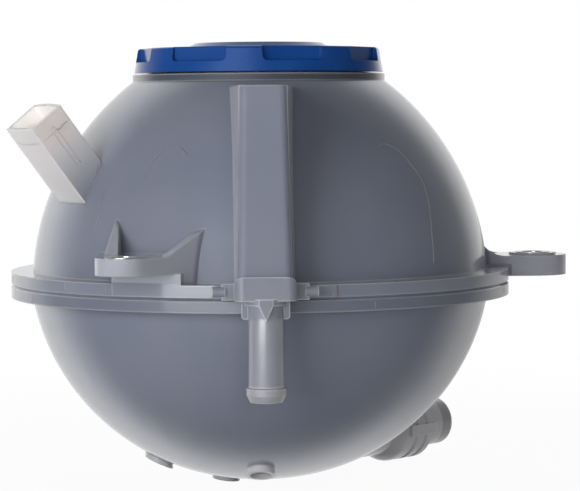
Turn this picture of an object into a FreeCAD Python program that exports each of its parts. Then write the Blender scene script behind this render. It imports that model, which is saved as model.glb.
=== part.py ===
import FreeCAD, Part
import Sketcher
import math
import os

# Lengths in mm, angles in degrees. Heights are above the weld seam, radii from the tank's axis.
SIZES = [
    ("shell_wall", 2.8, "wall of both tank halves"),
    ("flange_radius", 76.0, "weld flange"),
    ("upper_flange", 4.0, "flange of the upper half"),
    ("lower_flange", 3.8, "flange of the lower half"),
    ("seam_bevel", 0.5, "bevel that leaves the seam line"),
    ("dome_radius", 79.0, "profile arc of the dome"),
    ("dome_ledge", 6.6, "flange past the dome's foot"),
    ("dome_lip", 0.1, "dome past the collar, under it"),
    ("bowl_radius", 68.4, "profile arc of the bowl"),
    ("bowl_ledge", 6.4, "flange past the bowl's edge"),
    ("bowl_depth", 59.35, "flat under the bowl, from the seam"),
    ("bowl_flat", 14.0, "radius of the flat under the bowl"),
    ("collar_radius", 38.5, "collar under the cap"),
    ("collar_top", 63.2, "rim of the filler neck"),
    ("collar_height", 2.2, "upright side of the collar"),
    ("neck_bore", 30.5, "bore that takes the thread"),
    ("neck_wall", 2.4, "wall of the neck tube"),
    ("neck_depth", 13.0, "depth of the threaded bore"),
    ("seal_bore", 26.5, "smooth bore under the thread"),
    ("seal_depth", 12.0, "length of the smooth bore"),
    ("sector_proud", 0.7, "front part of the flange, past the rest"),
    ("sector_left", 34.0, "its left end, from the front"),
    ("sector_right", 15.0, "its right end, from the front"),
    ("riser_out", 9.0, "front face of the return riser, past the flange"),
    ("riser_back", 38.0, "where the riser ends inside the dome"),
    ("riser_drop", 1.8, "top of the riser, under the collar"),
    ("riser_foot", 1.5, "lower end of the riser"),
    ("riser_face", 15.4, "width of its front face at the foot"),
    ("riser_root", 19.4, "width at its back"),
    ("riser_edge", 2.2, "rounding of its front edges"),
    ("riser_taper", 0.7, "how far its sides draw in to the top"),
    ("riser_lean", 0.7, "how much further its right front edge draws in"),
    ("riser_wall", 1.8, "wall of the riser"),
    ("riser_port_drop", 5.7, "port to the tank, under the riser's top"),
    ("riser_port", 3.0, "radius of that port"),
    ("socket_turn", 210.0, "direction of the holder socket seen from above"),
    ("socket_rise", 52.0, "its tilt over the level"),
    ("socket_out", 0.4, "centre of its mouth, past the flange"),
    ("socket_height", 50.7, "centre of its mouth, over the seam"),
    ("socket_width", 17.0, "mouth across"),
    ("socket_depth", 11.5, "mouth up and down"),
    ("socket_length", 36.0, "from the mouth to inside the dome"),
    ("socket_wall", 1.3, "wall of the socket"),
    ("socket_bulge", 60.0, "arc of its long sides"),
    ("weld_gap", 0.02, "weld of the socket and the outlet to the shells"),
    ("socket_step", 0.4, "wider part inside its mouth"),
    ("socket_step_depth", 5.0, "depth of that wider part"),
    ("front_lug_out", 8.53, "front lug bolt, past the flange"),
    ("front_lug_turn", 27.47, "front lug bolt, left of the front"),
    ("front_lug_bottom", 7.2, "underside of the front lug"),
    ("front_lug_height", 4.8, "thickness of the front lug"),
    ("front_lug_end", 8.0, "radius of its end"),
    ("front_lug_right_in", 12.0, "where its right edge ends, inside the flange"),
    ("front_lug_right_turn", 12.7, "where its right edge ends, left of the front"),
    ("front_pad_turn", 17.7, "right end of the pad under the lug, left of the front"),
    ("front_rib_in", 1.8, "left gusset from the lug's left edge"),
    ("front_rib_foot", 4.4, "its width on the lug"),
    ("front_rib_rise", 9.5, "its height over the lug"),
    ("front_rib_head", 0.9, "its width at the top"),
    ("front_rib_head_in", 5.0, "its top from the lug's left edge"),
    ("front_rib_head_out", 7.2, "its top, out from the plates' ends"),
    ("front_web_rise", 10.6, "height of the right gusset at the dome"),
    ("rib_thickness", 2.4, "gussets of both lugs"),
    ("side_lug_out", 9.48, "side lug bolt, past the flange"),
    ("side_lug_turn", 6.04, "side lug bolt, back from the right"),
    ("side_lug_bottom", 0.8, "underside of the side lug"),
    ("side_lug_height", 6.2, "thickness of the side lug"),
    ("side_lug_end", 10.4, "radius of its end"),
    ("side_lug_pad", 0.6, "ring around its bolt"),
    ("side_rib_rise", 3.6, "height of its gussets at the dome"),
    ("side_rib_arc", 9.0, "hollow arc along their tops"),
    ("side_rib_sink", 0.9, "their upper ends, inside the dome's foot"),
    ("sleeve_radius", 5.35, "steel sleeves, outside"),
    ("sleeve_bore", 3.3, "steel sleeves, bolt hole"),
    ("sleeve_proud", 0.15, "sleeve ends past the lugs"),
    ("sleeve_fit", 0.02, "play of a sleeve in its lug"),
    ("outlet_turn", 46.0, "direction of the outlet seen from above"),
    ("outlet_rise", 7.85, "axis of the outlet over the bowl's flat"),
    ("outlet_drum", 10.7, "radius of its drum"),
    ("outlet_neck", 8.3, "radius of the neck between the bowl and the drum"),
    ("outlet_sunk", 4.4, "start of the neck, inside the bowl"),
    ("outlet_drum_length", 17.7, "drum and its rounded start"),
    ("outlet_drum_round", 5.0, "length of that rounded start"),
    ("outlet_shoulder_in", 4.8, "end of the drum, inside the flange"),
    ("outlet_out", 9.1, "end of the spigot, past the flange"),
    ("outlet_edge", 1.0, "rounding of its end"),
    ("outlet_ramp", 1.2, "slope from the spigot up to the drum"),
    ("outlet_bevel", 0.6, "bevel of the drum's end"),
    ("outlet_spigot", 7.75, "radius of the spigot"),
    ("outlet_bore", 5.8, "bore of the spigot"),
    ("outlet_groove", 0.7, "depth of the drum's two grooves"),
    ("outlet_groove_width", 1.2, "floor of each groove"),
    ("outlet_groove_slope", 0.4, "sloped side of each groove"),
    ("outlet_groove_back", 9.0, "first groove, back from the shoulder"),
    ("outlet_groove_front", 4.2, "second groove, back from the shoulder"),
    ("outlet_key_width", 3.4, "key rib along the drum"),
    ("outlet_key_length", 13.0, "key rib along the drum"),
    ("outlet_key_proud", 0.9, "key rib over the drum"),
    ("outlet_key_drop", 0.3, "key rib under the axis"),
    ("foot_circle", 31.6, "three ring feet, from the axis"),
    ("foot_inner_circle", 11.2, "the fourth ring foot, from the axis"),
    ("foot_radius", 4.25, "ring feet under the bowl, outside"),
    ("foot_bore", 3.2, "ring feet, inside"),
    ("foot_height", 1.8, "ring feet under the bowl"),
    ("foot_left_turn", 183.7, "left foot, seen from above"),
    ("foot_front_turn", 268.6, "front foot, seen from above"),
    ("foot_back_turn", 93.6, "back foot, seen from above"),
    ("foot_inner_turn", 169.7, "fourth foot, seen from above"),
    ("head_width", 17.2, "block of the return nipple"),
    ("head_top", 7.0, "its top"),
    ("head_floor", 1.1, "thickness of its floor"),
    ("head_wall", 1.6, "its front wall"),
    ("head_play", 0.1, "play around the riser's foot"),
    ("head_corner", 2.5, "its rounded upper corners"),
    ("head_edge", 2.5, "its rounded upright edges"),
    ("head_clear", 0.3, "its back, off the flange"),
    ("nipple_in", 3.2, "return nipple, behind the riser's front"),
    ("nipple_radius", 4.95, "return nipple, outside"),
    ("nipple_bore", 3.2, "return nipple, bore"),
    ("nipple_length", 28.0, "return nipple under the block"),
    ("nipple_bead", 5.6, "bead at its end"),
    ("nipple_bead_start", 23.8, "bead, from the block"),
    ("nipple_bead_land", 2.2, "straight part of the bead"),
    ("nipple_collar", 5.7, "collar under the block"),
    ("nipple_collar_height", 1.2, "collar under the block"),
    ("wing_span", 13.3, "two wings beside the nipple"),
    ("wing_drop", 5.2, "wings under the block"),
    ("wing_bevel", 0.6, "their lower corners"),
    ("wing_thickness", 1.8, "wings"),
    ("gusset_width", 3.9, "three-cornered gusset under the block"),
    ("gusset_drop", 4.2, "three-cornered gusset under the block"),
    ("ear_width", 3.5, "ears beside the block"),
    ("ear_height", 4.8, "ears beside the block"),
    ("ear_thickness", 2.2, "ears, front to back"),
    ("peg_radius", 1.5, "pegs on the ears"),
    ("peg_rise", 2.5, "pegs over the seam"),
    ("peg_length", 2.6, "pegs on the ears"),
    ("cap_gap", 0.5, "cap over the rim"),
    ("cap_radius", 38.0, "cap at its lower edge"),
    ("cap_top_radius", 36.9, "cap at its upper edge"),
    ("cap_height", 7.4, "side of the cap"),
    ("cap_edge", 0.9, "rounding of its upper edge"),
    ("cap_crown_radius", 19.5, "raised middle of the cap"),
    ("cap_crown", 1.6, "height of the raised middle"),
    ("cap_plate", 2.0, "top wall of the cap"),
    ("cap_cavity", 32.8, "hollow under the cap"),
    ("cap_snap", 1.2, "snap bead that holds the stem"),
    ("grip_count", 8, "grip recesses"),
    ("grip_span", 30.0, "grip recess, seen from above"),
    ("grip_start", 14.9, "middle of one recess, from the front"),
    ("grip_depth", 2.3, "grip recess into the side"),
    ("grip_height", 4.2, "grip recess down from the top edge"),
    ("grip_corner", 1.2, "rounded lower corners of a recess"),
    ("stem_flange", 2.4, "rim of the stem inside the cap"),
    ("stem_radius", 28.6, "stem under the thread"),
    ("stem_bore", 22.0, "bore for the valve housing"),
    ("stem_play", 0.3, "stem in the smooth bore"),
    ("stem_gap", 0.6, "stem shoulder over the neck's step"),
    ("stem_ledge", 1.6, "ledge under the valve housing"),
    ("stem_ledge_width", 3.0, "ledge under the valve housing"),
    ("ring_section", 1.5, "stem O-ring, section radius"),
    ("ring_play", 0.1, "O-rings to the bores they seal"),
    ("ring_drop", 6.1, "stem O-ring under the shoulder"),
    ("housing_play", 0.3, "valve housing in the stem"),
    ("housing_seat_gap", 0.1, "valve housing over its ledge"),
    ("housing_bore", 19.0, "inside of the valve housing"),
    ("housing_floor", 2.1, "floor of the valve housing"),
    ("housing_port", 9.0, "port in that floor"),
    ("housing_height", 22.3, "valve housing"),
    ("housing_lip", 1.2, "lip that holds the spring retainer"),
    ("small_ring_section", 0.9, "housing O-ring, section radius"),
    ("small_ring_rise", 6.5, "housing O-ring over the floor's underside"),
    ("seat_radius", 12.4, "valve seat, outside"),
    ("seat_width", 1.4, "valve seat"),
    ("seat_height", 0.8, "valve seat"),
    ("seal_radius", 15.0, "pressure seal"),
    ("seal_thickness", 1.6, "pressure seal"),
    ("plate_radius", 15.6, "pressure plate"),
    ("plate_thickness", 1.8, "pressure plate"),
    ("plate_ring", 11.6, "ring that centres the spring"),
    ("plate_ring_width", 2.0, "ring that centres the spring"),
    ("plate_ring_height", 2.2, "ring that centres the spring"),
    ("spring_radius", 13.7, "pressure spring, middle of the wire"),
    ("spring_wire", 0.9, "pressure spring, wire radius"),
    ("spring_turns", 5, "pressure spring"),
    ("retainer_play", 0.2, "spring retainer in the housing"),
    ("retainer_thickness", 2.0, "spring retainer"),
    ("retainer_vent", 2.4, "its four vents"),
    ("retainer_vent_circle", 7.0, "its four vents, from the axis"),
    ("vacuum_radius", 6.6, "vacuum disc"),
    ("vacuum_thickness", 1.8, "vacuum disc"),
    ("vacuum_stem", 2.1, "its stem"),
    ("vacuum_stem_play", 0.4, "its stem in the plate"),
    ("vacuum_stem_top", 1.0, "its stem past the clip"),
    ("vacuum_spring_height", 5.2, "vacuum spring"),
    ("vacuum_spring_radius", 4.2, "vacuum spring, middle of the wire"),
    ("vacuum_wire", 0.4, "vacuum spring, wire radius"),
    ("vacuum_turns", 4, "vacuum spring"),
    ("clip_radius", 5.6, "clip on the vacuum stem"),
    ("clip_thickness", 1.0, "clip on the vacuum stem"),
    ("clip_groove", 1.5, "stem under the clip"),
    ("clip_play", 0.05, "clip around the stem"),
]

# Sizes that follow from those above. A profile arc runs through its two ends with its own radius.
DERIVED = [
    ("collar_foot", "collar_top - collar_height", "foot of the collar"),
    ("dome_foot", "flange_radius - dome_ledge", "radius of the dome on the flange"),
    ("dome_head", "collar_radius + dome_lip", "radius of the dome under the collar"),
    ("dome_run", "dome_foot - dome_head", "how far the dome draws in"),
    ("dome_climb", "collar_foot - upper_flange", "how far the dome climbs"),
    ("dome_chord", "sqrt(dome_run ^ 2 + dome_climb ^ 2)", "between the ends of its arc"),
    ("dome_sweep", "sqrt(dome_radius ^ 2 - dome_chord ^ 2 / 4)", "from that chord to the arc's centre"),
    ("dome_centre_in", "dome_sweep * dome_climb / dome_chord - (dome_foot + dome_head) / 2",
     "how far the arc's centre lies past the axis"),
    ("dome_centre_drop", "dome_sweep * dome_run / dome_chord - (upper_flange + collar_foot) / 2",
     "how far it lies under the seam"),
    ("bowl_edge", "flange_radius - bowl_ledge", "radius of the bowl under the flange"),
    ("bowl_run", "bowl_edge - bowl_flat", "how far the bowl draws in"),
    ("bowl_fall", "bowl_depth - lower_flange", "how far the bowl falls"),
    ("bowl_chord", "sqrt(bowl_run ^ 2 + bowl_fall ^ 2)", "between the ends of its arc"),
    ("bowl_sweep", "sqrt(bowl_radius ^ 2 - bowl_chord ^ 2 / 4)", "from that chord to the arc's centre"),
    ("bowl_centre_out", "(bowl_edge + bowl_flat) / 2 - bowl_sweep * bowl_fall / bowl_chord",
     "how far the arc's centre lies off the axis"),
    ("bowl_centre_rise", "bowl_sweep * bowl_run / bowl_chord - (lower_flange + bowl_depth) / 2",
     "how far it lies over the seam"),
    ("riser_front", "flange_radius + riser_out", "front face of the riser at its foot"),
    ("riser_top", "collar_foot - riser_drop", "top of the riser"),
    ("riser_port_height", "riser_top - riser_port_drop", "port from the riser to the tank"),
    ("socket_reach", "flange_radius + socket_out", "centre of the socket's mouth, from the axis"),
    ("front_lug_x", "0 - (flange_radius + front_lug_out) * sin(front_lug_turn)", "front lug bolt"),
    ("front_lug_y", "0 - (flange_radius + front_lug_out) * cos(front_lug_turn)", "front lug bolt"),
    ("front_lug_right_x", "0 - (flange_radius - front_lug_right_in) * sin(front_lug_right_turn)",
     "where the front lug's right edge enters the dome"),
    ("front_lug_right_y", "0 - (flange_radius - front_lug_right_in) * cos(front_lug_right_turn)",
     "where the front lug's right edge enters the dome"),
    ("lug_root", "0.58 * flange_radius", "end of the lugs' plates inside the dome"),
    ("side_lug_x", "(flange_radius + side_lug_out) * cos(side_lug_turn)", "side lug bolt"),
    ("side_lug_y", "(flange_radius + side_lug_out) * sin(side_lug_turn)", "side lug bolt"),
    ("side_lug_root", "0.79 * flange_radius", "end of the side lug's plate inside the dome"),
    ("outlet_height", "outlet_rise - bowl_depth", "axis of the outlet"),
    ("outlet_inner",
     "sqrt(bowl_radius ^ 2 - (bowl_centre_rise - outlet_height) ^ 2) + bowl_centre_out - outlet_sunk",
     "start of the drum, from the axis"),
    ("outlet_shoulder", "flange_radius - outlet_shoulder_in", "end of the drum"),
    ("outlet_end", "flange_radius + outlet_out", "end of the spigot"),
    ("head_back", "flange_radius + sector_proud + head_clear", "back of the nipple's block, from the axis"),
    ("nipple_axis", "riser_front - nipple_in", "return nipple, from the axis"),
]

doc = FreeCAD.newDocument("coolant_reservoir")
sheet = doc.addObject("Spreadsheet::Sheet", "Sizes")


class Size:
    """A length with the sheet formula it comes from, so that sums of sizes stay bound to the sheet."""

    def __init__(self, value, text):
        self.value = float(value)
        self.text = text

    def __add__(self, other):
        other = as_size(other)
        return Size(self.value + other.value, f"({self.text} + {other.text})")

    def __sub__(self, other):
        other = as_size(other)
        return Size(self.value - other.value, f"({self.text} - {other.text})")

    def __mul__(self, other):
        other = as_size(other)
        return Size(self.value * other.value, f"({self.text} * {other.text})")

    def __truediv__(self, other):
        other = as_size(other)
        return Size(self.value / other.value, f"({self.text} / {other.text})")

    def __neg__(self):
        return Size(-self.value, f"(0 - {self.text})")

    def __radd__(self, other):
        return as_size(other) + self

    def __rsub__(self, other):
        return as_size(other) - self

    def __rmul__(self, other):
        return as_size(other) * self


def as_size(number):
    return number if isinstance(number, Size) else Size(number, repr(float(number)))


def root(size):
    return Size(math.sqrt(size.value), f"sqrt({size.text})")


def cosine(angle):
    angle = as_size(angle)
    return Size(math.cos(math.radians(angle.value)), f"cos({angle.text})")


def sine(angle):
    angle = as_size(angle)
    return Size(math.sin(math.radians(angle.value)), f"sin({angle.text})")


class Sheet:
    """Every size by its name."""


def fill_sheet():
    table = Sheet()
    for row, (name, value, use) in enumerate(SIZES, start=1):
        sheet.set(f"A{row}", name)
        sheet.set(f"B{row}", str(value))
        sheet.setAlias(f"B{row}", name)
        sheet.set(f"C{row}", use)
    for row, (name, formula, use) in enumerate(DERIVED, start=len(SIZES) + 1):
        sheet.set(f"A{row}", name)
        sheet.set(f"B{row}", f"={formula}")
        sheet.setAlias(f"B{row}", name)
        sheet.set(f"C{row}", use)
    doc.recompute()
    for name, _, _ in SIZES + DERIVED:
        setattr(table, name, Size(sheet.get(name), f"Sizes.{name}"))
    return table


s = fill_sheet()
finished = []


def new_body(label):
    """A body in the tank's frame, set so that the front lug's bolt hole is the part's datum."""
    body = doc.addObject("PartDesign::Body", label)
    body.Label = label
    body.setExpression("Placement.Base.x", f"0 - {s.front_lug_x.text}")
    body.setExpression("Placement.Base.y", f"0 - {s.front_lug_y.text}")
    body.setExpression("Placement.Base.z", f"0 - {s.front_lug_bottom.text}")
    finished.append(body)
    return body


def new_sketch(body, plane="XY_Plane", at=None, turn=0, pitch=0, roll=0):
    sketch = body.newObject("Sketcher::SketchObject", "Sketch")
    support = [item for item in body.Origin.OriginFeatures if item.Role == plane][0]
    sketch.AttachmentSupport = (support, [""])
    sketch.MapMode = "FlatFace"
    if at:
        x, y, z = [as_size(value).text for value in at]
        angles = "; ".join(as_size(value).text for value in (turn, pitch, roll))
        sketch.setExpression("AttachmentOffset", f"placement(vector({x}; {y}; {z}); rotation({angles}))")
    return sketch


def hold(sketch, kind, places, size):
    """One constraint, bound to the sheet."""
    size = as_size(size)
    index = sketch.addConstraint(Sketcher.Constraint(kind, *places, size.value))
    if "Sizes." in size.text:
        sketch.setExpression(f"Constraints[{index}]", size.text)


def hold_point(sketch, edge, end, x, y):
    for kind, axis, size in (("DistanceX", -2, as_size(x)), ("DistanceY", -1, as_size(y))):
        if size.value == 0 and "Sizes." not in size.text:
            sketch.addConstraint(Sketcher.Constraint("PointOnObject", edge, end, axis))
        else:
            hold(sketch, kind, (-1, 1, edge, end), size)


def arc_between(start, end, radius):
    """Arc from start to end. A positive radius turns left, a negative one turns right."""
    chord = end - start
    half = chord.Length / 2
    rise = math.sqrt(max(radius * radius - half * half, 0))
    side = FreeCAD.Vector(-chord.y, chord.x, 0).normalize()
    centre = (start + end) / 2 + side * (rise if radius > 0 else -rise)
    first, last = (start, end) if radius > 0 else (end, start)
    angles = [math.atan2(point.y - centre.y, point.x - centre.x) for point in (first, last)]
    circle = Part.Circle(centre, FreeCAD.Vector(0, 0, 1), abs(radius))
    return Part.ArcOfCircle(circle, *angles)


def draw(sketch, corners):
    """A closed outline. A corner is (x, y), or (x, y, radius) if an arc leads to it from the one before."""
    points = [FreeCAD.Vector(as_size(c[0]).value, as_size(c[1]).value, 0) for c in corners]
    first_edge = sketch.GeometryCount
    ends = []
    for index, corner in enumerate(corners):
        before = points[index - 1]
        radius = as_size(corner[2]) if len(corner) == 3 else None
        if radius:
            edge = sketch.addGeometry(arc_between(before, points[index], radius.value), False)
            ends.append((edge, 1, 2) if radius.value > 0 else (edge, 2, 1))
        else:
            edge = sketch.addGeometry(Part.LineSegment(before, points[index]), False)
            ends.append((edge, 1, 2))
    for index, corner in enumerate(corners):
        edge, _, tail = ends[index]
        after, head, _ = ends[(index + 1) % len(corners)]
        sketch.addConstraint(Sketcher.Constraint("Coincident", edge, tail, after, head))
        hold_point(sketch, edge, tail, corner[0], corner[1])
        if len(corner) == 3:
            radius = as_size(corner[2])
            hold(sketch, "Radius", (first_edge + index,), radius if radius.value > 0 else -radius)


def draw_circle(sketch, x, y, radius):
    x, y, radius = as_size(x), as_size(y), as_size(radius)
    circle = Part.Circle(FreeCAD.Vector(x.value, y.value, 0), FreeCAD.Vector(0, 0, 1), radius.value)
    edge = sketch.addGeometry(circle, False)
    hold(sketch, "Radius", (edge,), radius)
    hold_point(sketch, edge, 3, x, y)


def turned(body, kind, sketch, axis="V_Axis"):
    feature = body.newObject(f"PartDesign::{kind}", kind)
    feature.Profile = sketch
    feature.ReferenceAxis = (sketch, [axis])
    feature.Angle = 360
    return settle(body, feature)


def raised(body, kind, sketch, length, down=False, both=False):
    feature = body.newObject(f"PartDesign::{kind}", kind)
    feature.Profile = sketch
    feature.setExpression("Length", as_size(length).text)
    feature.Reversed = down
    if both:
        feature.SideType = "Symmetric"
    return settle(body, feature)


def settle(body, feature):
    """Recomputes and makes sure that an added shape adds and a cut cuts."""
    before = body.Shape.Volume if not body.Shape.isNull() else 0
    doc.recompute()
    if body.Shape.isNull() or "Invalid" in feature.State:
        raise RuntimeError(f"{body.Label}: {feature.Name} {feature.getStatusString()}")
    change = body.Shape.Volume - before
    cuts = feature.TypeId in ("PartDesign::Groove", "PartDesign::Pocket", "PartDesign::SubtractiveLoft")
    if (cuts and change > -0.01) or (not cuts and change < 0.01):
        raise RuntimeError(f"{body.Label}: {feature.Name} changes the volume by {change:.3f}")
    return feature


def revolve(body, corners, kind="Revolution"):
    sketch = new_sketch(body, "XZ_Plane")
    draw(sketch, corners)
    return turned(body, kind, sketch)


def dome_at(height, inset=0):
    """Radius of the dome, or of a shell inside it, at a height."""
    arc = s.dome_radius - inset
    rise = height + s.dome_centre_drop
    return root(arc * arc - rise * rise) - s.dome_centre_in


def bowl_at(depth, inset=0):
    """Radius of the bowl, or of a shell inside it, at a depth under the seam."""
    arc = s.bowl_radius - inset
    fall = depth + s.bowl_centre_rise
    return root(arc * arc - fall * fall) + s.bowl_centre_out


def join_sections(body, kind, foot, head):
    feature = body.newObject(f"PartDesign::{kind}", kind)
    feature.Profile = foot
    feature.Sections = [(head, [""])]
    feature.Ruled = True
    settle(body, feature)


def riser_outline(inset, edge, lean=0):
    """The riser seen from above: straight back, rounded front corners."""
    half_face = s.riser_face / 2 - inset
    half_root = s.riser_root / 2 - inset
    front = s.riser_front - inset
    right_face = half_face - lean
    return [
        (-half_root, -s.riser_back),
        (-half_face, edge - front),
        (edge - half_face, -front, edge),
        (right_face - edge, -front),
        (right_face, edge - front, edge),
        (half_root, -s.riser_back),
    ]


def riser_loft(body, kind, inset, edge, top):
    """A shape that narrows from the riser's foot to a height."""
    foot = new_sketch(body, at=(0, 0, s.riser_foot))
    draw(foot, riser_outline(inset, edge))
    head = new_sketch(body, at=(0, 0, top))
    draw(head, riser_outline(inset + s.riser_taper, edge, s.riser_lean))
    join_sections(body, kind, foot, head)


def add_riser(body):
    riser_loft(body, "AdditiveLoft", as_size(0), s.riser_edge, s.riser_top)
    riser_loft(body, "SubtractiveLoft", s.riser_wall, s.riser_edge / 2, s.riser_top - s.riser_wall)


def socket_outline(inset):
    half_depth = s.socket_depth / 2 - inset
    half_width = s.socket_width / 2 - inset
    bulge = s.socket_bulge - inset
    return [
        (-half_depth, -half_width, bulge),
        (half_depth, -half_width),
        (half_depth, half_width, bulge),
        (-half_depth, half_width),
    ]


def trim_to_dome(body):
    """Cuts a welded-on piece to the outside of the dome."""
    play = s.weld_gap
    revolve(body, [
        (0, 0),
        (dome_at(as_size(0), -play), 0),
        (dome_at(s.collar_foot, -play), s.collar_foot, s.dome_radius + play),
        (0, s.collar_foot),
    ], "Groove")


def make_socket_tube():
    body = new_body("socket_tube")
    mouth = (s.socket_reach * cosine(s.socket_turn), s.socket_reach * sine(s.socket_turn), s.socket_height)
    tilt = 90 - s.socket_rise
    outside = new_sketch(body, at=mouth, turn=s.socket_turn, pitch=tilt)
    draw(outside, socket_outline(0))
    raised(body, "Pad", outside, s.socket_length, down=True)
    trim_to_dome(body)
    inside = new_sketch(body, at=mouth, turn=s.socket_turn, pitch=tilt)
    draw(inside, socket_outline(s.socket_wall))
    raised(body, "Pocket", inside, s.socket_length)
    step = new_sketch(body, at=mouth, turn=s.socket_turn, pitch=tilt)
    draw(step, socket_outline(s.socket_wall - s.socket_step))
    raised(body, "Pocket", step, s.socket_step_depth)
    return body


def add_dome(body):
    revolve(body, [
        (0, 0),
        (s.flange_radius - s.seam_bevel, 0),
        (s.flange_radius, s.seam_bevel),
        (s.flange_radius, s.upper_flange),
        (s.dome_foot, s.upper_flange),
        (s.dome_head, s.collar_foot, s.dome_radius),
        (s.collar_radius, s.collar_foot),
        (s.collar_radius, s.collar_top),
        (0, s.collar_top),
    ])


def ring_sector(body, inner, outer, left, right, bottom, height):
    """A raised part of the flange between two angles from the front."""
    def place(radius, angle):
        return (radius * sine(angle), -(radius * cosine(angle)))
    sketch = new_sketch(body, at=(0, 0, bottom))
    draw(sketch, [
        place(inner, -left),
        place(outer, -left),
        place(outer, right) + (outer,),
        place(inner, right),
        place(inner, -left) + (-inner,),
    ][1:])
    raised(body, "Pad", sketch, height)


def add_front_lug(body):
    outer = s.flange_radius + s.sector_proud
    inner = s.dome_foot - s.shell_wall / 2
    rim_height = s.upper_flange - s.seam_bevel
    ring_sector(body, inner, outer, s.sector_left, s.sector_right, s.seam_bevel, rim_height)
    pad_height = s.front_lug_bottom - s.upper_flange
    ring_sector(body, inner, outer, s.sector_left, -s.front_pad_turn, s.upper_flange, pad_height)
    plate = new_sketch(body, at=(0, 0, s.front_lug_bottom))
    slant = s.front_lug_end * 0.7071
    left = s.front_lug_x - s.front_lug_end
    draw(plate, [
        (left, -s.lug_root),
        (left, s.front_lug_y),
        (s.front_lug_x + slant, s.front_lug_y - slant, s.front_lug_end),
        (s.front_lug_right_x, s.front_lug_right_y),
        (s.front_lug_right_x, -s.lug_root),
    ])
    raised(body, "Pad", plate, s.front_lug_height)
    top = s.front_lug_bottom + s.front_lug_height
    add_front_rib(body, left, top)
    add_front_web(body, top)


def add_front_rib(body, left, top):
    """The left gusset: a wedge that narrows from the lug up to the dome."""
    sunk = as_size(1)
    foot_left = left + s.front_rib_in
    foot_right = foot_left + s.front_rib_foot
    foot_front = s.front_lug_y + s.front_lug_end
    foot = new_sketch(body, at=(0, 0, top - sunk))
    draw(foot, [
        (foot_left, -s.lug_root),
        (foot_left, foot_front),
        (foot_right, foot_front),
        (foot_right, -s.lug_root),
    ])
    head_left = left + s.front_rib_head_in
    head_right = head_left + s.front_rib_head
    head_front = -(s.lug_root + s.front_rib_head_out)
    head = new_sketch(body, at=(0, 0, top + s.front_rib_rise))
    draw(head, [
        (head_left, -s.lug_root),
        (head_left, head_front),
        (head_right, head_front),
        (head_right, -s.lug_root),
    ])
    join_sections(body, "AdditiveLoft", foot, head)


def add_front_web(body, top):
    """The right gusset: an upright wall along the lug's right edge, from the flange to the dome."""
    slant = s.front_lug_end * 0.7071
    start_x = s.front_lug_x + slant
    start_y = s.front_lug_y - slant
    run_x = s.front_lug_right_x - start_x
    run_y = s.front_lug_right_y - start_y
    length = root(run_x * run_x + run_y * run_y)
    heading = Size(math.degrees(math.atan2(run_y.value, run_x.value)), f"atan2({run_y.text}; {run_x.text})")
    web = new_sketch(body, at=(start_x, start_y, 0), turn=heading, roll=90)
    rise_from = length * 0.32
    drop_from = length * 0.5
    end = length + 3
    draw(web, [
        (rise_from, s.front_lug_bottom),
        (drop_from, s.front_lug_bottom),
        (drop_from, s.upper_flange - 1),
        (end, s.upper_flange - 1),
        (end, top + s.front_web_rise),
        (rise_from, top),
    ])
    raised(body, "Pad", web, s.rib_thickness, down=True)


def add_side_lug(body):
    plate = new_sketch(body, at=(0, 0, s.side_lug_bottom))
    front = s.side_lug_y - s.side_lug_end
    back = s.side_lug_y + s.side_lug_end
    draw(plate, [
        (s.side_lug_root, back),
        (s.side_lug_root, front),
        (s.side_lug_x, front),
        (s.side_lug_x + s.side_lug_end, s.side_lug_y, s.side_lug_end),
        (s.side_lug_x, back, s.side_lug_end),
    ])
    raised(body, "Pad", plate, s.side_lug_height)
    top = s.side_lug_bottom + s.side_lug_height
    ring = new_sketch(body, at=(0, 0, top))
    draw_circle(ring, s.side_lug_x, s.side_lug_y, s.sleeve_radius + 2)
    raised(body, "Pad", ring, s.side_lug_pad)
    for edge in (front + s.rib_thickness / 2, back - s.rib_thickness / 2):
        rib = new_sketch(body, at=(0, edge, 0), roll=90)
        draw(rib, [
            (s.side_lug_root, top - 1),
            (s.flange_radius, top - 1),
            (s.flange_radius, top),
            (s.dome_foot - s.side_rib_sink, top + s.side_rib_rise, -s.side_rib_arc),
            (s.side_lug_root, top + s.side_rib_rise),
        ])
        raised(body, "Pad", rib, s.rib_thickness, both=True)


def lug_hole(body, x, y, bottom, height):
    sketch = new_sketch(body, at=(0, 0, bottom))
    draw_circle(sketch, x, y, s.sleeve_radius + s.sleeve_fit)
    raised(body, "Pocket", sketch, height, down=True)


def hollow_dome(body):
    """The cavity of the upper half, around the neck tube."""
    deck = s.collar_top - s.shell_wall
    step = s.collar_top - s.neck_depth
    mouth = step - s.seal_depth
    tube = s.neck_bore + s.neck_wall
    seal_tube = s.seal_bore + s.neck_wall
    revolve(body, [
        (0, -1),
        (dome_at(as_size(0), s.shell_wall), -1),
        (dome_at(as_size(0), s.shell_wall), 0),
        (dome_at(deck, s.shell_wall), deck, s.dome_radius - s.shell_wall),
        (tube, deck),
        (tube, step - s.neck_wall),
        (seal_tube, step - s.neck_wall - 2),
        (seal_tube, mouth),
        (s.seal_bore, mouth),
        (s.seal_bore, step),
        (s.neck_bore, step),
        (s.neck_bore, s.collar_top + 1),
        (0, s.collar_top + 1),
    ], "Groove")


def make_upper_shell():
    body = new_body("upper_shell")
    add_riser(body)
    add_dome(body)
    add_front_lug(body)
    add_side_lug(body)
    hollow_dome(body)
    lug_hole(body, s.front_lug_x, s.front_lug_y, s.front_lug_bottom, s.front_lug_height)
    side_depth = s.side_lug_height + s.side_lug_pad
    lug_hole(body, s.side_lug_x, s.side_lug_y, s.side_lug_bottom, side_depth)
    port = new_sketch(body, at=(0, -s.riser_back, 0), roll=90)
    draw_circle(port, 0, s.riser_port_height, s.riser_port)
    raised(body, "Pocket", port, 15, down=True)
    return body


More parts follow.
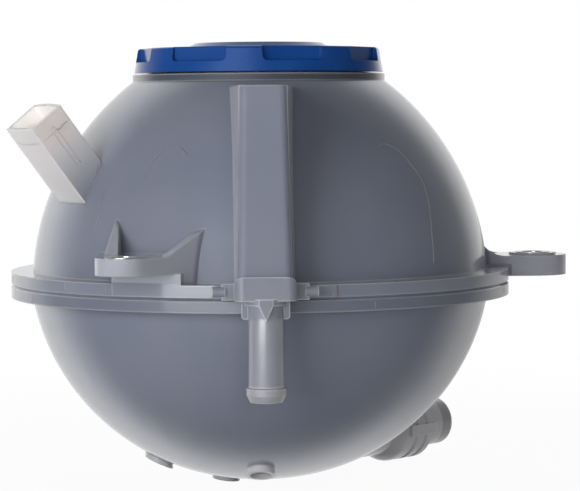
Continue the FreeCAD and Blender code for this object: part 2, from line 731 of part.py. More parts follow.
def add_feet(body):
    """Ring feet with upright sides, ended a little under the bowl and along it."""
    outer = s.foot_circle
    places = [
        (outer, s.foot_left_turn),
        (outer, s.foot_front_turn),
        (outer, s.foot_back_turn),
        (s.foot_inner_circle, s.foot_inner_turn),
    ]
    rings = new_sketch(body, at=(0, 0, -(s.bowl_depth / 2)))
    for reach, turn in places:
        x = reach * cosine(turn)
        y = reach * sine(turn)
        draw_circle(rings, x, y, s.foot_radius)
        draw_circle(rings, x, y, s.foot_bore)
    raised(body, "Pad", rings, s.bowl_depth, down=True)
    arc = s.bowl_radius + s.foot_height
    rim = s.bowl_edge - s.bowl_ledge
    out = rim - s.bowl_centre_out
    edge = root(arc * arc - out * out) - s.bowl_centre_rise
    lowest = root(arc * arc - s.bowl_centre_out * s.bowl_centre_out) - s.bowl_centre_rise
    revolve(body, [
        (0, -(s.bowl_depth * 2)),
        (rim, -(s.bowl_depth * 2)),
        (rim, -edge),
        (0, -lowest, -arc),
    ], "Groove")


def add_bowl(body):
    revolve(body, [
        (0, 0),
        (0, -s.bowl_depth),
        (s.bowl_flat, -s.bowl_depth),
        (s.bowl_edge, -s.lower_flange, s.bowl_radius),
        (s.flange_radius, -s.lower_flange),
        (s.flange_radius, -s.seam_bevel),
        (s.flange_radius - s.seam_bevel, 0),
    ])


def outlet_sketch(body):
    """A level sketch with its first axis along the outlet."""
    return new_sketch(body, at=(0, 0, s.outlet_height), turn=s.outlet_turn)


def add_outlet(body):
    drum = s.outlet_drum
    groove = drum - s.outlet_groove
    neck = s.outlet_neck
    spigot = s.outlet_spigot
    start = s.outlet_shoulder - s.outlet_drum_length
    first = s.outlet_shoulder - s.outlet_groove_back
    second = s.outlet_shoulder - s.outlet_groove_front
    width = s.outlet_groove_width
    slope = s.outlet_groove_slope
    sketch = outlet_sketch(body)
    draw(sketch, [
        (s.outlet_inner, 0),
        (s.outlet_end, 0),
        (s.outlet_end, spigot - s.outlet_edge),
        (s.outlet_end - s.outlet_edge, spigot, s.outlet_edge),
        (s.outlet_shoulder + s.outlet_ramp, spigot),
        (s.outlet_shoulder, drum - s.outlet_bevel),
        (s.outlet_shoulder - s.outlet_bevel, drum),
        (second + width + slope, drum),
        (second + width, groove),
        (second, groove),
        (second - slope, drum),
        (first + width + slope, drum),
        (first + width, groove),
        (first, groove),
        (first - slope, drum),
        (start + s.outlet_drum_round, drum),
        (start, neck, s.outlet_drum_round * 1.2),
        (s.outlet_inner + neck, neck),
        (s.outlet_inner, 0, neck),
    ][1:])
    turned(body, "Revolution", sketch, "H_Axis")
    add_outlet_key(body)


def add_outlet_key(body):
    """A bar along the drum's near side, with a round end over the shoulder."""
    half = s.outlet_key_width / 2
    middle = s.outlet_height - s.outlet_key_drop
    stop = s.outlet_shoulder + s.outlet_edge
    start = stop - s.outlet_key_length
    key = new_sketch(body, at=(0, 0, 0), turn=s.outlet_turn, roll=90)
    draw(key, [
        (start, middle - half),
        (stop - half, middle - half),
        (stop, middle, half),
        (stop - half, middle + half, half),
        (start, middle + half),
    ])
    raised(body, "Pad", key, s.outlet_drum + s.outlet_key_proud)


def bore_outlet(body):
    begin = s.outlet_inner + s.shell_wall
    end = s.outlet_end + 1
    sketch = outlet_sketch(body)
    draw(sketch, [
        (begin, 0),
        (end, 0),
        (end, s.outlet_bore),
        (begin, s.outlet_bore),
    ])
    turned(body, "Groove", sketch, "H_Axis")


def cut_bowl(body, wall):
    """Removes all that lies inside the bowl, or inside a shell within it."""
    floor = s.bowl_depth - wall
    arc = s.bowl_radius - wall
    fall = floor + s.bowl_centre_rise
    flat = root(arc * arc - fall * fall) + s.bowl_centre_out
    revolve(body, [
        (0, 1),
        (0, -floor),
        (flat, -floor),
        (bowl_at(as_size(0), wall), 0, arc),
        (bowl_at(as_size(0), wall), 1),
    ], "Groove")


def make_lower_shell():
    body = new_body("lower_shell")
    add_feet(body)
    add_bowl(body)
    cut_bowl(body, s.shell_wall)
    bore_outlet(body)
    return body


def make_outlet_spigot():
    body = new_body("outlet_spigot")
    add_outlet(body)
    cut_bowl(body, -s.weld_gap)
    bore_outlet(body)
    return body


def make_return_nipple():
    body = new_body("return_nipple")
    floor_top = s.riser_foot
    bottom = floor_top - s.head_floor
    half = s.head_width / 2
    front = s.riser_front + s.head_wall
    edge = s.head_edge
    block = new_sketch(body, at=(0, 0, bottom))
    draw(block, [
        (-half, -s.head_back),
        (-half, edge - front),
        (edge - half, -front, edge),
        (half - edge, -front),
        (half, edge - front, edge),
        (half, -s.head_back),
    ])
    raised(body, "Pad", block, s.head_top - bottom)
    add_nipple_tube(body, bottom)
    round_head(body, front)
    add_ears(body)
    recess = new_sketch(body, at=(0, 0, floor_top))
    draw(recess, riser_outline(-s.head_play, s.riser_edge))
    raised(body, "Pocket", recess, s.head_top, down=True)
    bore = new_sketch(body, at=(0, 0, floor_top))
    draw_circle(bore, 0, -s.nipple_axis, s.nipple_bore)
    raised(body, "Pocket", bore, s.nipple_length + s.head_floor + 1)
    return body


def round_head(body, front):
    """Rounds the block's two upper corners, seen from the front."""
    half = s.head_width / 2
    corner = s.head_corner
    ends = new_sketch(body, at=(0, -s.head_back, 0), roll=90)
    for side in (-1, 1):
        draw(ends, [
            (side * half, s.head_top - corner),
            (side * (half + 1), s.head_top - corner),
            (side * (half + 1), s.head_top + 1),
            (side * (half - corner), s.head_top + 1),
            (side * (half - corner), s.head_top),
            (side * half, s.head_top - corner, -side * corner),
        ][1:])
    raised(body, "Pocket", ends, front - s.head_back + 1, down=True)


def add_nipple_tube(body, bottom):
    sketch = new_sketch(body, at=(0, -s.nipple_axis, bottom), roll=90)
    sunk = as_size(0.5)
    slope = as_size(0.4)
    bead = s.nipple_bead_start
    land = bead + s.nipple_bead_land
    draw(sketch, [
        (0, sunk),
        (s.nipple_collar, sunk),
        (s.nipple_collar, -s.nipple_collar_height),
        (s.nipple_radius, -s.nipple_collar_height),
        (s.nipple_radius, -bead),
        (s.nipple_bead, -bead - slope),
        (s.nipple_bead, -land),
        (s.nipple_radius - slope, -s.nipple_length),
        (0, -s.nipple_length),
    ])
    turned(body, "Revolution", sketch)
    wings = new_sketch(body, at=(0, -s.nipple_axis, bottom), roll=90)
    half = s.wing_span / 2
    draw(wings, [
        (-half, sunk),
        (-half, s.wing_bevel - s.wing_drop),
        (s.wing_bevel - half, -s.wing_drop),
        (half - s.wing_bevel, -s.wing_drop),
        (half, s.wing_bevel - s.wing_drop),
        (half, sunk),
    ])
    raised(body, "Pad", wings, s.wing_thickness, both=True)
    gusset = new_sketch(body, at=(0, -s.nipple_axis, bottom), roll=90)
    draw(gusset, [
        (s.gusset_width / -2, sunk),
        (s.gusset_width / -2, -s.nipple_collar_height),
        (0, -s.nipple_collar_height - s.gusset_drop),
        (s.gusset_width / 2, -s.nipple_collar_height),
        (s.gusset_width / 2, sunk),
    ])
    raised(body, "Pad", gusset, s.nipple_collar)


def add_ears(body):
    half = s.head_width / 2
    ears = new_sketch(body, at=(0, -s.head_back, 0), roll=90)
    for side in (-1, 1):
        draw(ears, [
            (side * (half - 1), 0.2),
            (side * (half + s.ear_width), 0.2),
            (side * (half + s.ear_width), s.ear_height),
            (side * (half - 1), s.ear_height),
        ])
    raised(body, "Pad", ears, s.ear_thickness)
    for side in (-1, 1):
        pegs = new_sketch(body, at=(side * (half + s.ear_width - 1), 0, 0), turn=90, roll=90)
        draw_circle(pegs, -s.head_back - s.peg_radius - 0.2, s.peg_rise, s.peg_radius)
        raised(body, "Pad", pegs, s.peg_length + 1, down=side < 0)


def make_sleeve(label, x, y, bottom, height):
    body = new_body(label)
    sketch = new_sketch(body, at=(0, 0, bottom - s.sleeve_proud))
    draw_circle(sketch, x, y, s.sleeve_radius)
    draw_circle(sketch, x, y, s.sleeve_bore)
    raised(body, "Pad", sketch, height + 2 * s.sleeve_proud)
    return body


def cap_levels():
    """Heights that the cap's pieces share."""
    levels = Sheet()
    levels.skirt = s.collar_top + s.cap_gap
    levels.top = levels.skirt + s.cap_height
    levels.cavity = levels.top - s.cap_plate
    levels.shoulder = s.collar_top - s.neck_depth + s.stem_gap
    levels.stem_foot = s.collar_top - s.neck_depth - s.seal_depth + 1
    levels.housing = levels.stem_foot + s.stem_ledge + s.housing_seat_gap
    levels.housing_top = levels.housing + s.housing_height
    levels.floor = levels.housing + s.housing_floor
    levels.seat = levels.floor + s.seat_height
    levels.plate = levels.seat + s.seal_thickness
    levels.plate_top = levels.plate + s.plate_thickness
    levels.clip = levels.plate_top + s.vacuum_spring_height
    levels.retainer_top = levels.housing_top - s.housing_lip
    levels.retainer = levels.retainer_top - s.retainer_thickness
    return levels


def make_cap_cover(z):
    body = new_body("cap_cover")
    crown = z.top + s.cap_crown
    snap = s.cap_cavity - s.cap_snap
    snap_top = z.cavity - s.stem_flange
    hub = s.stem_bore - 0.6
    hub_foot = z.housing_top + 0.2
    revolve(body, [
        (0, z.cavity),
        (hub - 1.6, z.cavity),
        (hub - 1.6, hub_foot),
        (hub, hub_foot),
        (hub, z.cavity),
        (s.cap_cavity, z.cavity),
        (s.cap_cavity, snap_top),
        (snap, snap_top - 0.8),
        (snap, snap_top - 1.2),
        (s.cap_cavity, snap_top - 2.0),
        (s.cap_cavity, z.skirt),
        (s.cap_radius, z.skirt),
        (s.cap_top_radius, z.top - s.cap_edge),
        (s.cap_top_radius - s.cap_edge, z.top, s.cap_edge),
        (s.cap_crown_radius + 3, z.top),
        (s.cap_crown_radius, crown),
        (0, crown),
    ])
    add_grips(body, z)
    return body


def add_grips(body, z):
    """One recess in the cap's side, then a ring of them."""
    half = s.grip_span / 2
    width = (s.cap_top_radius - s.grip_depth) * sine(half)
    depth = s.cap_top_radius - s.grip_depth
    low = z.top - s.grip_height
    sketch = new_sketch(body, at=(depth * sine(s.grip_start), -(depth * cosine(s.grip_start)), 0),
                        turn=s.grip_start, roll=90)
    draw(sketch, [
        (-width, z.top + 1),
        (-width, low + s.grip_corner),
        (s.grip_corner - width, low, s.grip_corner),
        (width - s.grip_corner, low),
        (width, low + s.grip_corner, s.grip_corner),
        (width, z.top + 1),
    ])
    recess = raised(body, "Pocket", sketch, 8, down=True)
    ring = body.newObject("PartDesign::PolarPattern", "Grips")
    ring.Originals = [recess]
    axis = [item for item in body.Origin.OriginFeatures if item.Role == "Z_Axis"][0]
    ring.Axis = (axis, [""])
    ring.Angle = 360
    ring.setExpression("Occurrences", s.grip_count.text)
    body.Tip = ring
    doc.recompute()


def make_cap_stem(z):
    body = new_body("cap_stem")
    low = s.seal_bore - s.stem_play
    groove = s.seal_bore - s.ring_play - 2 * s.ring_section
    ring_mid = z.shoulder - s.ring_drop
    half = s.ring_section + 0.2
    revolve(body, [
        (s.stem_bore, z.cavity),
        (s.stem_bore, z.stem_foot + s.stem_ledge),
        (s.stem_bore - s.stem_ledge_width, z.stem_foot + s.stem_ledge),
        (s.stem_bore - s.stem_ledge_width, z.stem_foot),
        (low - 1, z.stem_foot),
        (low, z.stem_foot + 1),
        (low, ring_mid - half),
        (groove, ring_mid - half),
        (groove, ring_mid + half),
        (low, ring_mid + half),
        (low, z.shoulder),
        (s.stem_radius, z.shoulder),
        (s.stem_radius, z.cavity - s.stem_flange),
        (s.cap_cavity - 0.3, z.cavity - s.stem_flange),
        (s.cap_cavity - 0.3, z.cavity),
    ])
    return body


def make_ring(label, radius, section, height):
    ring = doc.addObject("Part::Torus", label)
    ring.Label = label
    ring.setExpression("Radius1", radius.text)
    ring.setExpression("Radius2", section.text)
    ring.setExpression("Placement.Base.x", f"0 - {s.front_lug_x.text}")
    ring.setExpression("Placement.Base.y", f"0 - {s.front_lug_y.text}")
    ring.setExpression("Placement.Base.z", (height - s.front_lug_bottom).text)
    finished.append(ring)
    return ring


def make_valve_housing(z):
    body = new_body("valve_housing")
    outer = s.stem_bore - s.housing_play
    groove = s.stem_bore - s.ring_play - 2 * s.small_ring_section
    ring_mid = z.housing + s.small_ring_rise
    half = s.small_ring_section + 0.2
    lip = s.housing_bore - 1
    revolve(body, [
        (s.housing_port, z.housing),
        (outer, z.housing),
        (outer, ring_mid - half),
        (groove, ring_mid - half),
        (groove, ring_mid + half),
        (outer, ring_mid + half),
        (outer, z.housing_top),
        (s.housing_bore, z.housing_top),
        (lip, z.retainer_top + 0.4),
        (lip, z.retainer_top),
        (s.housing_bore, z.retainer_top),
        (s.housing_bore, z.floor),
        (s.seat_radius, z.floor),
        (s.seat_radius, z.seat - 0.3),
        (s.seat_radius - 0.3, z.seat),
        (s.seat_radius - s.seat_width, z.seat),
        (s.seat_radius - s.seat_width, z.floor),
        (s.housing_port, z.floor),
    ])
    return body


def make_spring_retainer(z):
    body = new_body("spring_retainer")
    edge = s.housing_bore - s.retainer_play
    guide = s.spring_radius - s.spring_wire - 0.6
    revolve(body, [
        (0, z.retainer),
        (guide - 1.4, z.retainer),
        (guide - 1.4, z.retainer - 2.2),
        (guide, z.retainer - 2.2),
        (guide, z.retainer),
        (edge, z.retainer),
        (edge, z.retainer_top),
        (0, z.retainer_top),
    ])
    vent = new_sketch(body, at=(0, 0, z.retainer))
    draw_circle(vent, s.retainer_vent_circle, 0, s.retainer_vent)
    hole = raised(body, "Pocket", vent, s.retainer_thickness, down=True)
    ring = body.newObject("PartDesign::PolarPattern", "Vents")
    ring.Originals = [hole]
    axis = [item for item in body.Origin.OriginFeatures if item.Role == "Z_Axis"][0]
    ring.Axis = (axis, [""])
    ring.Angle = 360
    ring.Occurrences = 4
    body.Tip = ring
    doc.recompute()
    return body


def make_pressure_plate(z):
    body = new_body("pressure_plate")
    hole = s.vacuum_stem + s.vacuum_stem_play
    ring_top = z.plate_top + s.plate_ring_height
    revolve(body, [
        (hole, z.plate),
        (s.plate_radius, z.plate),
        (s.plate_radius, z.plate_top),
        (s.plate_ring, z.plate_top),
        (s.plate_ring, ring_top - 0.4),
        (s.plate_ring - 0.4, ring_top),
        (s.plate_ring - s.plate_ring_width, ring_top),
        (s.plate_ring - s.plate_ring_width, z.plate_top),
        (hole, z.plate_top),
    ])
    return body


def make_pressure_seal(z):
    body = new_body("pressure_seal")
    hole = s.vacuum_stem + 2 * s.vacuum_stem_play
    revolve(body, [
        (hole, z.seat),
        (s.seal_radius, z.seat),
        (s.seal_radius, z.plate),
        (hole, z.plate),
    ])
    return body


def make_spring(label, radius, wire, turns, bottom, top):
    body = new_body(label)
    sketch = new_sketch(body, "XZ_Plane")
    draw_circle(sketch, radius, bottom + wire, wire)
    coil = body.newObject("PartDesign::AdditiveHelix", "Coil")
    coil.Profile = sketch
    coil.ReferenceAxis = (sketch, ["V_Axis"])
    coil.Mode = "height-turns-angle"
    coil.setExpression("Height", (top - bottom - 2 * wire).text)
    coil.setExpression("Turns", turns.text)
    doc.recompute()
    return body


def make_vacuum_disc(z):
    body = new_body("vacuum_disc")
    top = z.clip + s.clip_thickness + s.vacuum_stem_top
    revolve(body, [
        (0, z.seat - s.vacuum_thickness),
        (s.vacuum_radius, z.seat - s.vacuum_thickness),
        (s.vacuum_radius, z.seat),
        (s.vacuum_stem, z.seat),
        (s.vacuum_stem, z.clip),
        (s.clip_groove, z.clip),
        (s.clip_groove, z.clip + s.clip_thickness),
        (s.vacuum_stem, z.clip + s.clip_thickness),
        (s.vacuum_stem, top - 0.4),
        (s.vacuum_stem - 0.4, top),
        (0, top),
    ])
    return body


def make_vacuum_clip(z):
    body = new_body("vacuum_clip")
    sketch = new_sketch(body, at=(0, 0, z.clip))
    draw_circle(sketch, 0, 0, s.clip_radius)
    draw_circle(sketch, 0, 0, s.clip_groove + s.clip_play)
    raised(body, "Pad", sketch, s.clip_thickness)
    slot = new_sketch(body, at=(0, 0, z.clip))
    half = s.clip_groove - 0.2
    draw(slot, [
        (-half, 0),
        (half, 0),
        (half, s.clip_radius + 1),
        (-half, s.clip_radius + 1),
    ])
    raised(body, "Pocket", slot, s.clip_thickness, down=True)
    return body


def make_cap():
    z = cap_levels()
    make_cap_cover(z)
    make_cap_stem(z)
    stem_ring = s.seal_bore - s.ring_play - s.ring_section
    make_ring("stem_o_ring", stem_ring, s.ring_section, z.shoulder - s.ring_drop)
    make_valve_housing(z)
    housing_ring = s.stem_bore - s.ring_play - s.small_ring_section
    make_ring("housing_o_ring", housing_ring, s.small_ring_section, z.housing + s.small_ring_rise)
    make_spring_retainer(z)
    make_pressure_plate(z)
    make_pressure_seal(z)
    make_spring("pressure_spring", s.spring_radius, s.spring_wire, s.spring_turns, z.plate_top, z.retainer)
    make_vacuum_disc(z)
    make_vacuum_clip(z)
    make_spring("vacuum_spring", s.vacuum_spring_radius, s.vacuum_wire, s.vacuum_turns, z.plate_top, z.clip)


def write_parts():
    bad = [item.Name for item in doc.Objects if "Invalid" in item.State or "Error" in item.State]
    if bad:
        raise RuntimeError(f"not recomputed: {bad}")
    os.makedirs("parts", exist_ok=True)
    for item in finished:
        shape = item.Shape
        if shape.isNull() or not shape.isValid() or len(shape.Solids) != 1:
            raise RuntimeError(f"{item.Label}: {len(shape.Solids)} solids, valid {shape.isValid()}")
        shape.exportStep(f"parts/{item.Label}.step")
        print(f"{item.Label}: {shape.Volume / 1000:.2f} cm3")


make_upper_shell()
make_socket_tube()
make_lower_shell()
make_outlet_spigot()
make_return_nipple()
make_sleeve("front_lug_sleeve", s.front_lug_x, s.front_lug_y, s.front_lug_bottom, s.front_lug_height)
make_sleeve("side_lug_sleeve", s.side_lug_x, s.side_lug_y, s.side_lug_bottom,
            s.side_lug_height + s.side_lug_pad)
make_cap()
doc.recompute()
write_parts()
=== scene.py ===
import bpy
import math
from mathutils import Matrix, Vector
from mathutils.bvhtree import BVHTree


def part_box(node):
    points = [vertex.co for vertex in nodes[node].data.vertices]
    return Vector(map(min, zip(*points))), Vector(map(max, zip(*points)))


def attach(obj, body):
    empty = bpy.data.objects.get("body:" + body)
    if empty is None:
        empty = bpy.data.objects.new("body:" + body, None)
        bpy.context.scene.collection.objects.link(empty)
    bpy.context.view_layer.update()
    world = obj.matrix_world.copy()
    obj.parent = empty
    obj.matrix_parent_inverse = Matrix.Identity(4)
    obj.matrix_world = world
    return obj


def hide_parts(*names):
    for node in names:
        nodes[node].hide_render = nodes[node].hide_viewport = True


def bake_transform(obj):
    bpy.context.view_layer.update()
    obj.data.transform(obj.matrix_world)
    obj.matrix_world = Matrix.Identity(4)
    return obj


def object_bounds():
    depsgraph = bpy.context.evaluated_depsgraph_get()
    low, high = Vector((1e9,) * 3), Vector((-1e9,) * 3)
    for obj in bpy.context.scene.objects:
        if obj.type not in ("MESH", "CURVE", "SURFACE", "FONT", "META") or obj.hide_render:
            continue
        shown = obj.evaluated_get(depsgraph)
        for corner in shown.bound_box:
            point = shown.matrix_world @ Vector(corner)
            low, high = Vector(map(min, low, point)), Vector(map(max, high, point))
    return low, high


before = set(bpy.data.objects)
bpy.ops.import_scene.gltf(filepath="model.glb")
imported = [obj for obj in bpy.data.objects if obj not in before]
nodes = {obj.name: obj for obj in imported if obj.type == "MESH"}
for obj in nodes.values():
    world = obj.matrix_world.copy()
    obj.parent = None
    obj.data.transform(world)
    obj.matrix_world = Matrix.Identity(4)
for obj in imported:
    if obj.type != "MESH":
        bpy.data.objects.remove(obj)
cadLow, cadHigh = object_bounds()
print("frame loaded:", len(nodes), "CAD nodes")

# The tank's own axis and weld seam, read from the frame. Sizes below are in mm from there.
capLow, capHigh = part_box("cap_cover")
axisX = (capLow.x + capHigh.x) / 2
axisY = (capLow.y + capHigh.y) / 2
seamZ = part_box("lower_shell")[1].z


def inTank(x, y, z):
    return Vector((axisX + x / 1000, axisY + y / 1000, seamZ + z / 1000))


def polar(radius, angle, z):
    # angle from the front, to the right, in degrees
    turn = math.radians(angle)
    return inTank(radius * math.sin(turn), -radius * math.cos(turn), z)


# small helpers for node trees
def addNode(tree, kind, x, y, **settings):
    node = tree.nodes.new(kind)
    node.location = (x, y)
    for name, value in settings.items():
        setattr(node, name, value)
    return node


def setInputs(node, **values):
    for name, value in values.items():
        node.inputs[name.replace("_", " ")].default_value = value
    return node


def newGroup(name, inputs, outputs):
    tree = bpy.data.node_groups.new(name, "ShaderNodeTree")
    for label, kind, value in inputs:
        socket = tree.interface.new_socket(name=label, in_out="INPUT", socket_type=kind)
        socket.default_value = value
    for label, kind in outputs:
        tree.interface.new_socket(name=label, in_out="OUTPUT", socket_type=kind)
    start = addNode(tree, "NodeGroupInput", -900, 0)
    end = addNode(tree, "NodeGroupOutput", 700, 0)
    return tree, start, end


def math2(tree, operation, first, second, x=0, y=0, clamp=False):
    node = addNode(tree, "ShaderNodeMath", x, y, operation=operation, use_clamp=clamp)
    for slot, value in enumerate((first, second)):
        if isinstance(value, (int, float)):
            node.inputs[slot].default_value = value
        elif value is not None:
            tree.links.new(value, node.inputs[slot])
    return node.outputs[0]


def ramp(tree, value, low, high, x=0, y=0):
    node = addNode(tree, "ShaderNodeMapRange", x, y, interpolation_type="SMOOTHSTEP")
    setInputs(node, From_Min=low, From_Max=high)
    tree.links.new(value, node.inputs["Value"])
    return node.outputs["Result"]


def mixColour(tree, factor, first, second, x=0, y=0):
    node = addNode(tree, "ShaderNodeMix", x, y, data_type="RGBA")
    factorIn, firstIn, secondIn = node.inputs[0], node.inputs[6], node.inputs[7]
    for socket, value in ((factorIn, factor), (firstIn, first), (secondIn, second)):
        if isinstance(value, bpy.types.NodeSocket):
            tree.links.new(value, socket)
        elif isinstance(value, (int, float)):
            socket.default_value = value
        else:
            socket.default_value = (*value, 1)
    return node.outputs[2]


# effects that several finishes share
grainLook = {
    "grain": 2600.0, "sink": 45.0, "fineShare": 0.35, "slowShare": 0.65, "cloud": (0.3, 0.7),
}


def makeMouldGrain():
    # Fine satin skin of a moulded part, and the slow unevenness under it.
    look = grainLook
    tree, start, end = newGroup(
        "mouldGrain",
        [("Grain", "NodeSocketFloat", look["grain"]), ("Sink", "NodeSocketFloat", look["sink"])],
        [("Height", "NodeSocketFloat"), ("Cloud", "NodeSocketFloat")],
    )
    where = addNode(tree, "ShaderNodeTexCoord", -900, -250).outputs["Object"]
    grain = setInputs(addNode(tree, "ShaderNodeTexNoise", -500, 200), Detail=3.0, Roughness=0.6)
    sink = setInputs(addNode(tree, "ShaderNodeTexNoise", -500, -100), Detail=2.0, Roughness=0.5)
    for noise, scale in ((grain, "Grain"), (sink, "Sink")):
        tree.links.new(where, noise.inputs["Vector"])
        tree.links.new(start.outputs[scale], noise.inputs["Scale"])
    fine = math2(tree, "MULTIPLY", grain.outputs["Fac"], look["fineShare"], -200, 200)
    slow = math2(tree, "MULTIPLY", sink.outputs["Fac"], look["slowShare"], -200, 0)
    tree.links.new(math2(tree, "ADD", fine, slow, 100, 100), end.inputs["Height"])
    cloud = ramp(tree, sink.outputs["Fac"], *look["cloud"], 100, -150)
    tree.links.new(cloud, end.inputs["Cloud"])
    return tree


handlingLook = {
    "scale": 60.0, "amount": 0.3, "streakTurn": (0.4, 0.7, 0.2), "streakScale": (1.0, 9.0, 2.5),
    "scuff": (0.58, 0.75), "dotScale": 5.0, "speck": (0.09, 0.05),
}


def makeHandling():
    # Light scuffs and specks from handling.
    look = handlingLook
    tree, start, end = newGroup(
        "handling",
        [("Scale", "NodeSocketFloat", look["scale"]),
         ("Amount", "NodeSocketFloat", look["amount"])],
        [("Scuff", "NodeSocketFloat"), ("Speck", "NodeSocketFloat")],
    )
    where = addNode(tree, "ShaderNodeTexCoord", -900, -250).outputs["Object"]
    stretch = addNode(tree, "ShaderNodeMapping", -700, 150)
    setInputs(stretch, Rotation=look["streakTurn"], Scale=look["streakScale"])
    tree.links.new(where, stretch.inputs["Vector"])
    streak = setInputs(addNode(tree, "ShaderNodeTexNoise", -450, 150), Detail=5.0, Roughness=0.7)
    tree.links.new(stretch.outputs[0], streak.inputs["Vector"])
    tree.links.new(start.outputs["Scale"], streak.inputs["Scale"])
    dots = addNode(tree, "ShaderNodeTexVoronoi", -450, -150)
    tree.links.new(where, dots.inputs["Vector"])
    dotScale = math2(tree, "MULTIPLY", start.outputs["Scale"], look["dotScale"], -650, -150)
    tree.links.new(dotScale, dots.inputs["Scale"])
    scuff = ramp(tree, streak.outputs["Fac"], *look["scuff"], -150, 150)
    speck = ramp(tree, dots.outputs["Distance"], *look["speck"], -150, -150)
    for label, mark, y in (("Scuff", scuff, 150), ("Speck", speck, -150)):
        share = math2(tree, "MULTIPLY", mark, start.outputs["Amount"], 200, y)
        tree.links.new(share, end.inputs[label])
    return tree


edgeLook = {"radius": 0.0005, "samples": 6, "bend": (0.999, 0.86)}


def makeSoftEdge():
    # Moulded edges are rounded, and light comes through them: the edge mask paints them paler, a
    # painted glow.
    look = edgeLook
    tree, start, end = newGroup(
        "softEdgeGlow",
        [("Radius", "NodeSocketFloat", look["radius"])],
        [("Normal", "NodeSocketVector"), ("EdgeGlow", "NodeSocketFloat")],
    )
    rounded = addNode(tree, "ShaderNodeBevel", -500, 100, samples=look["samples"])
    tree.links.new(start.outputs["Radius"], rounded.inputs["Radius"])
    flat = addNode(tree, "ShaderNodeNewGeometry", -500, -150)
    agree = addNode(tree, "ShaderNodeVectorMath", -200, 0, operation="DOT_PRODUCT")
    tree.links.new(rounded.outputs[0], agree.inputs[0])
    tree.links.new(flat.outputs["Normal"], agree.inputs[1])
    tree.links.new(rounded.outputs[0], end.inputs["Normal"])
    edge = ramp(tree, agree.outputs["Value"], *look["bend"], 100, -100)
    tree.links.new(edge, end.inputs["EdgeGlow"])
    return tree


mouldGrain = makeMouldGrain()
handling = makeHandling()
softEdgeGlow = makeSoftEdge()
print("shared effects built")


# finishes
def newMaterial(name):
    material = bpy.data.materials.new(name)
    material.use_nodes = True
    tree = material.node_tree
    tree.nodes.clear()
    shader = addNode(tree, "ShaderNodeBsdfPrincipled", 600, 0)
    output = addNode(tree, "ShaderNodeOutputMaterial", 900, 0)
    tree.links.new(shader.outputs[0], output.inputs["Surface"])
    return material, tree, shader


def placeGroup(tree, group, x, y, **values):
    node = addNode(tree, "ShaderNodeGroup", x, y, node_tree=group)
    return setInputs(node, **values)


def addSkin(tree, shader, height, strength, distance, normal):
    # The skin's relief lies on top of the rounded edges.
    bump = addNode(tree, "ShaderNodeBump", 350, -350)
    setInputs(bump, Strength=strength, Distance=distance)
    if normal:
        tree.links.new(normal, bump.inputs["Normal"])
    tree.links.new(height, bump.inputs["Height"])
    tree.links.new(bump.outputs[0], shader.inputs["Normal"])


def addScuffs(tree, shader, worn, share, roughness):
    # scuffs are duller than the rest
    scuff = math2(tree, "MULTIPLY", worn.outputs["Scuff"], share, -300, -50)
    tree.links.new(math2(tree, "ADD", scuff, roughness, -100, -50), shader.inputs["Roughness"])


# One uncoloured plastic, cool grey where the wall is thick, with light and shade painted in: paler
# where it is thin, a painted glow, and darker under the cap and the flange, painted shade.
# A pair of lengths is where a soft change starts and ends, in mm.
tankLook = {
    # edge is the paler colour painted on rounded edges: a painted glow
    "body": (0.142, 0.158, 0.208), "cloud": (0.156, 0.171, 0.218), "edge": (0.40, 0.395, 0.405),
    "roughness": 0.52, "rounding": 0.0009, "grain": 2200.0, "sink": 38.0, "relief": 0.10,
    "coat": 0.0, "rimCoat": 1.0, "rim": (0.37, 0.70), "coatIor": 2.8, "coatRoughness": 0.12,
    # weld flange, its lower half painted darker: painted shade
    "flangeRadius": (74.2, 75.2), "flangeLow": (-4.5, -3.9), "flangeHigh": (4.7, 4.1),
    "flangeSeam": (0.1, -0.1), "flangeCoat": 0.17, "lowerDull": -0.45,
    "flangeUnderShade": (0.112, 0.127, 0.170),
    # thin lugs and gussets, which stand off the dome, painted paler: a painted glow for light
    # through them
    "domeArc": 79.0, "domeIn": 9.39, "domeDrop": 1.75, "offDome": (0.4, 2.2),
    "thinGlow": (0.29, 0.302, 0.348), "thinHeight": (4.2, 4.8), "thinReach": (77.2, 77.6),
    # riser, its sides painted paler: painted light
    "riserSideLight": (0.43, 0.44, 0.49), "riserEdge": (12.0, 11.5),
    "riserFront": (9.6, 10.0), "riserBack": (-82.9, -82.4),
    # ring feet, which stand off the bowl, painted paler: painted light
    "bowlArc": 68.4, "bowlOut": 2.24, "bowlRise": 8.03, "offBowl": (0.15, 0.35),
    "foot": (0.40, 0.40, 0.42), "footHeight": (-45.0, -46.0),
    # filler neck, painted dark under the cap: painted shade
    "neck": (0.050, 0.058, 0.078), "neckShadeFoot": (60.5, 61.0),
}
# The return nipple's clearer plastic.
nippleLook = {
    # edge is the paler colour painted on rounded edges: a painted glow
    "body": (0.162, 0.176, 0.220), "cloud": (0.182, 0.193, 0.232), "edge": (0.52, 0.51, 0.53),
    "roughness": 0.40, "rounding": 0.0006, "grain": 3200.0, "sink": 110.0, "relief": 0.05,
    "coat": 0.08, "rimCoat": 0.4, "rim": (0.25, 0.75), "coatIor": 1.9, "coatRoughness": 0.11,
    "tubeCoat": 1.0, "tubeTop": (-4.0, -5.0),
    "bead": (0.235, 0.24, 0.265), "beadTop": (-22.6, -23.2),
}
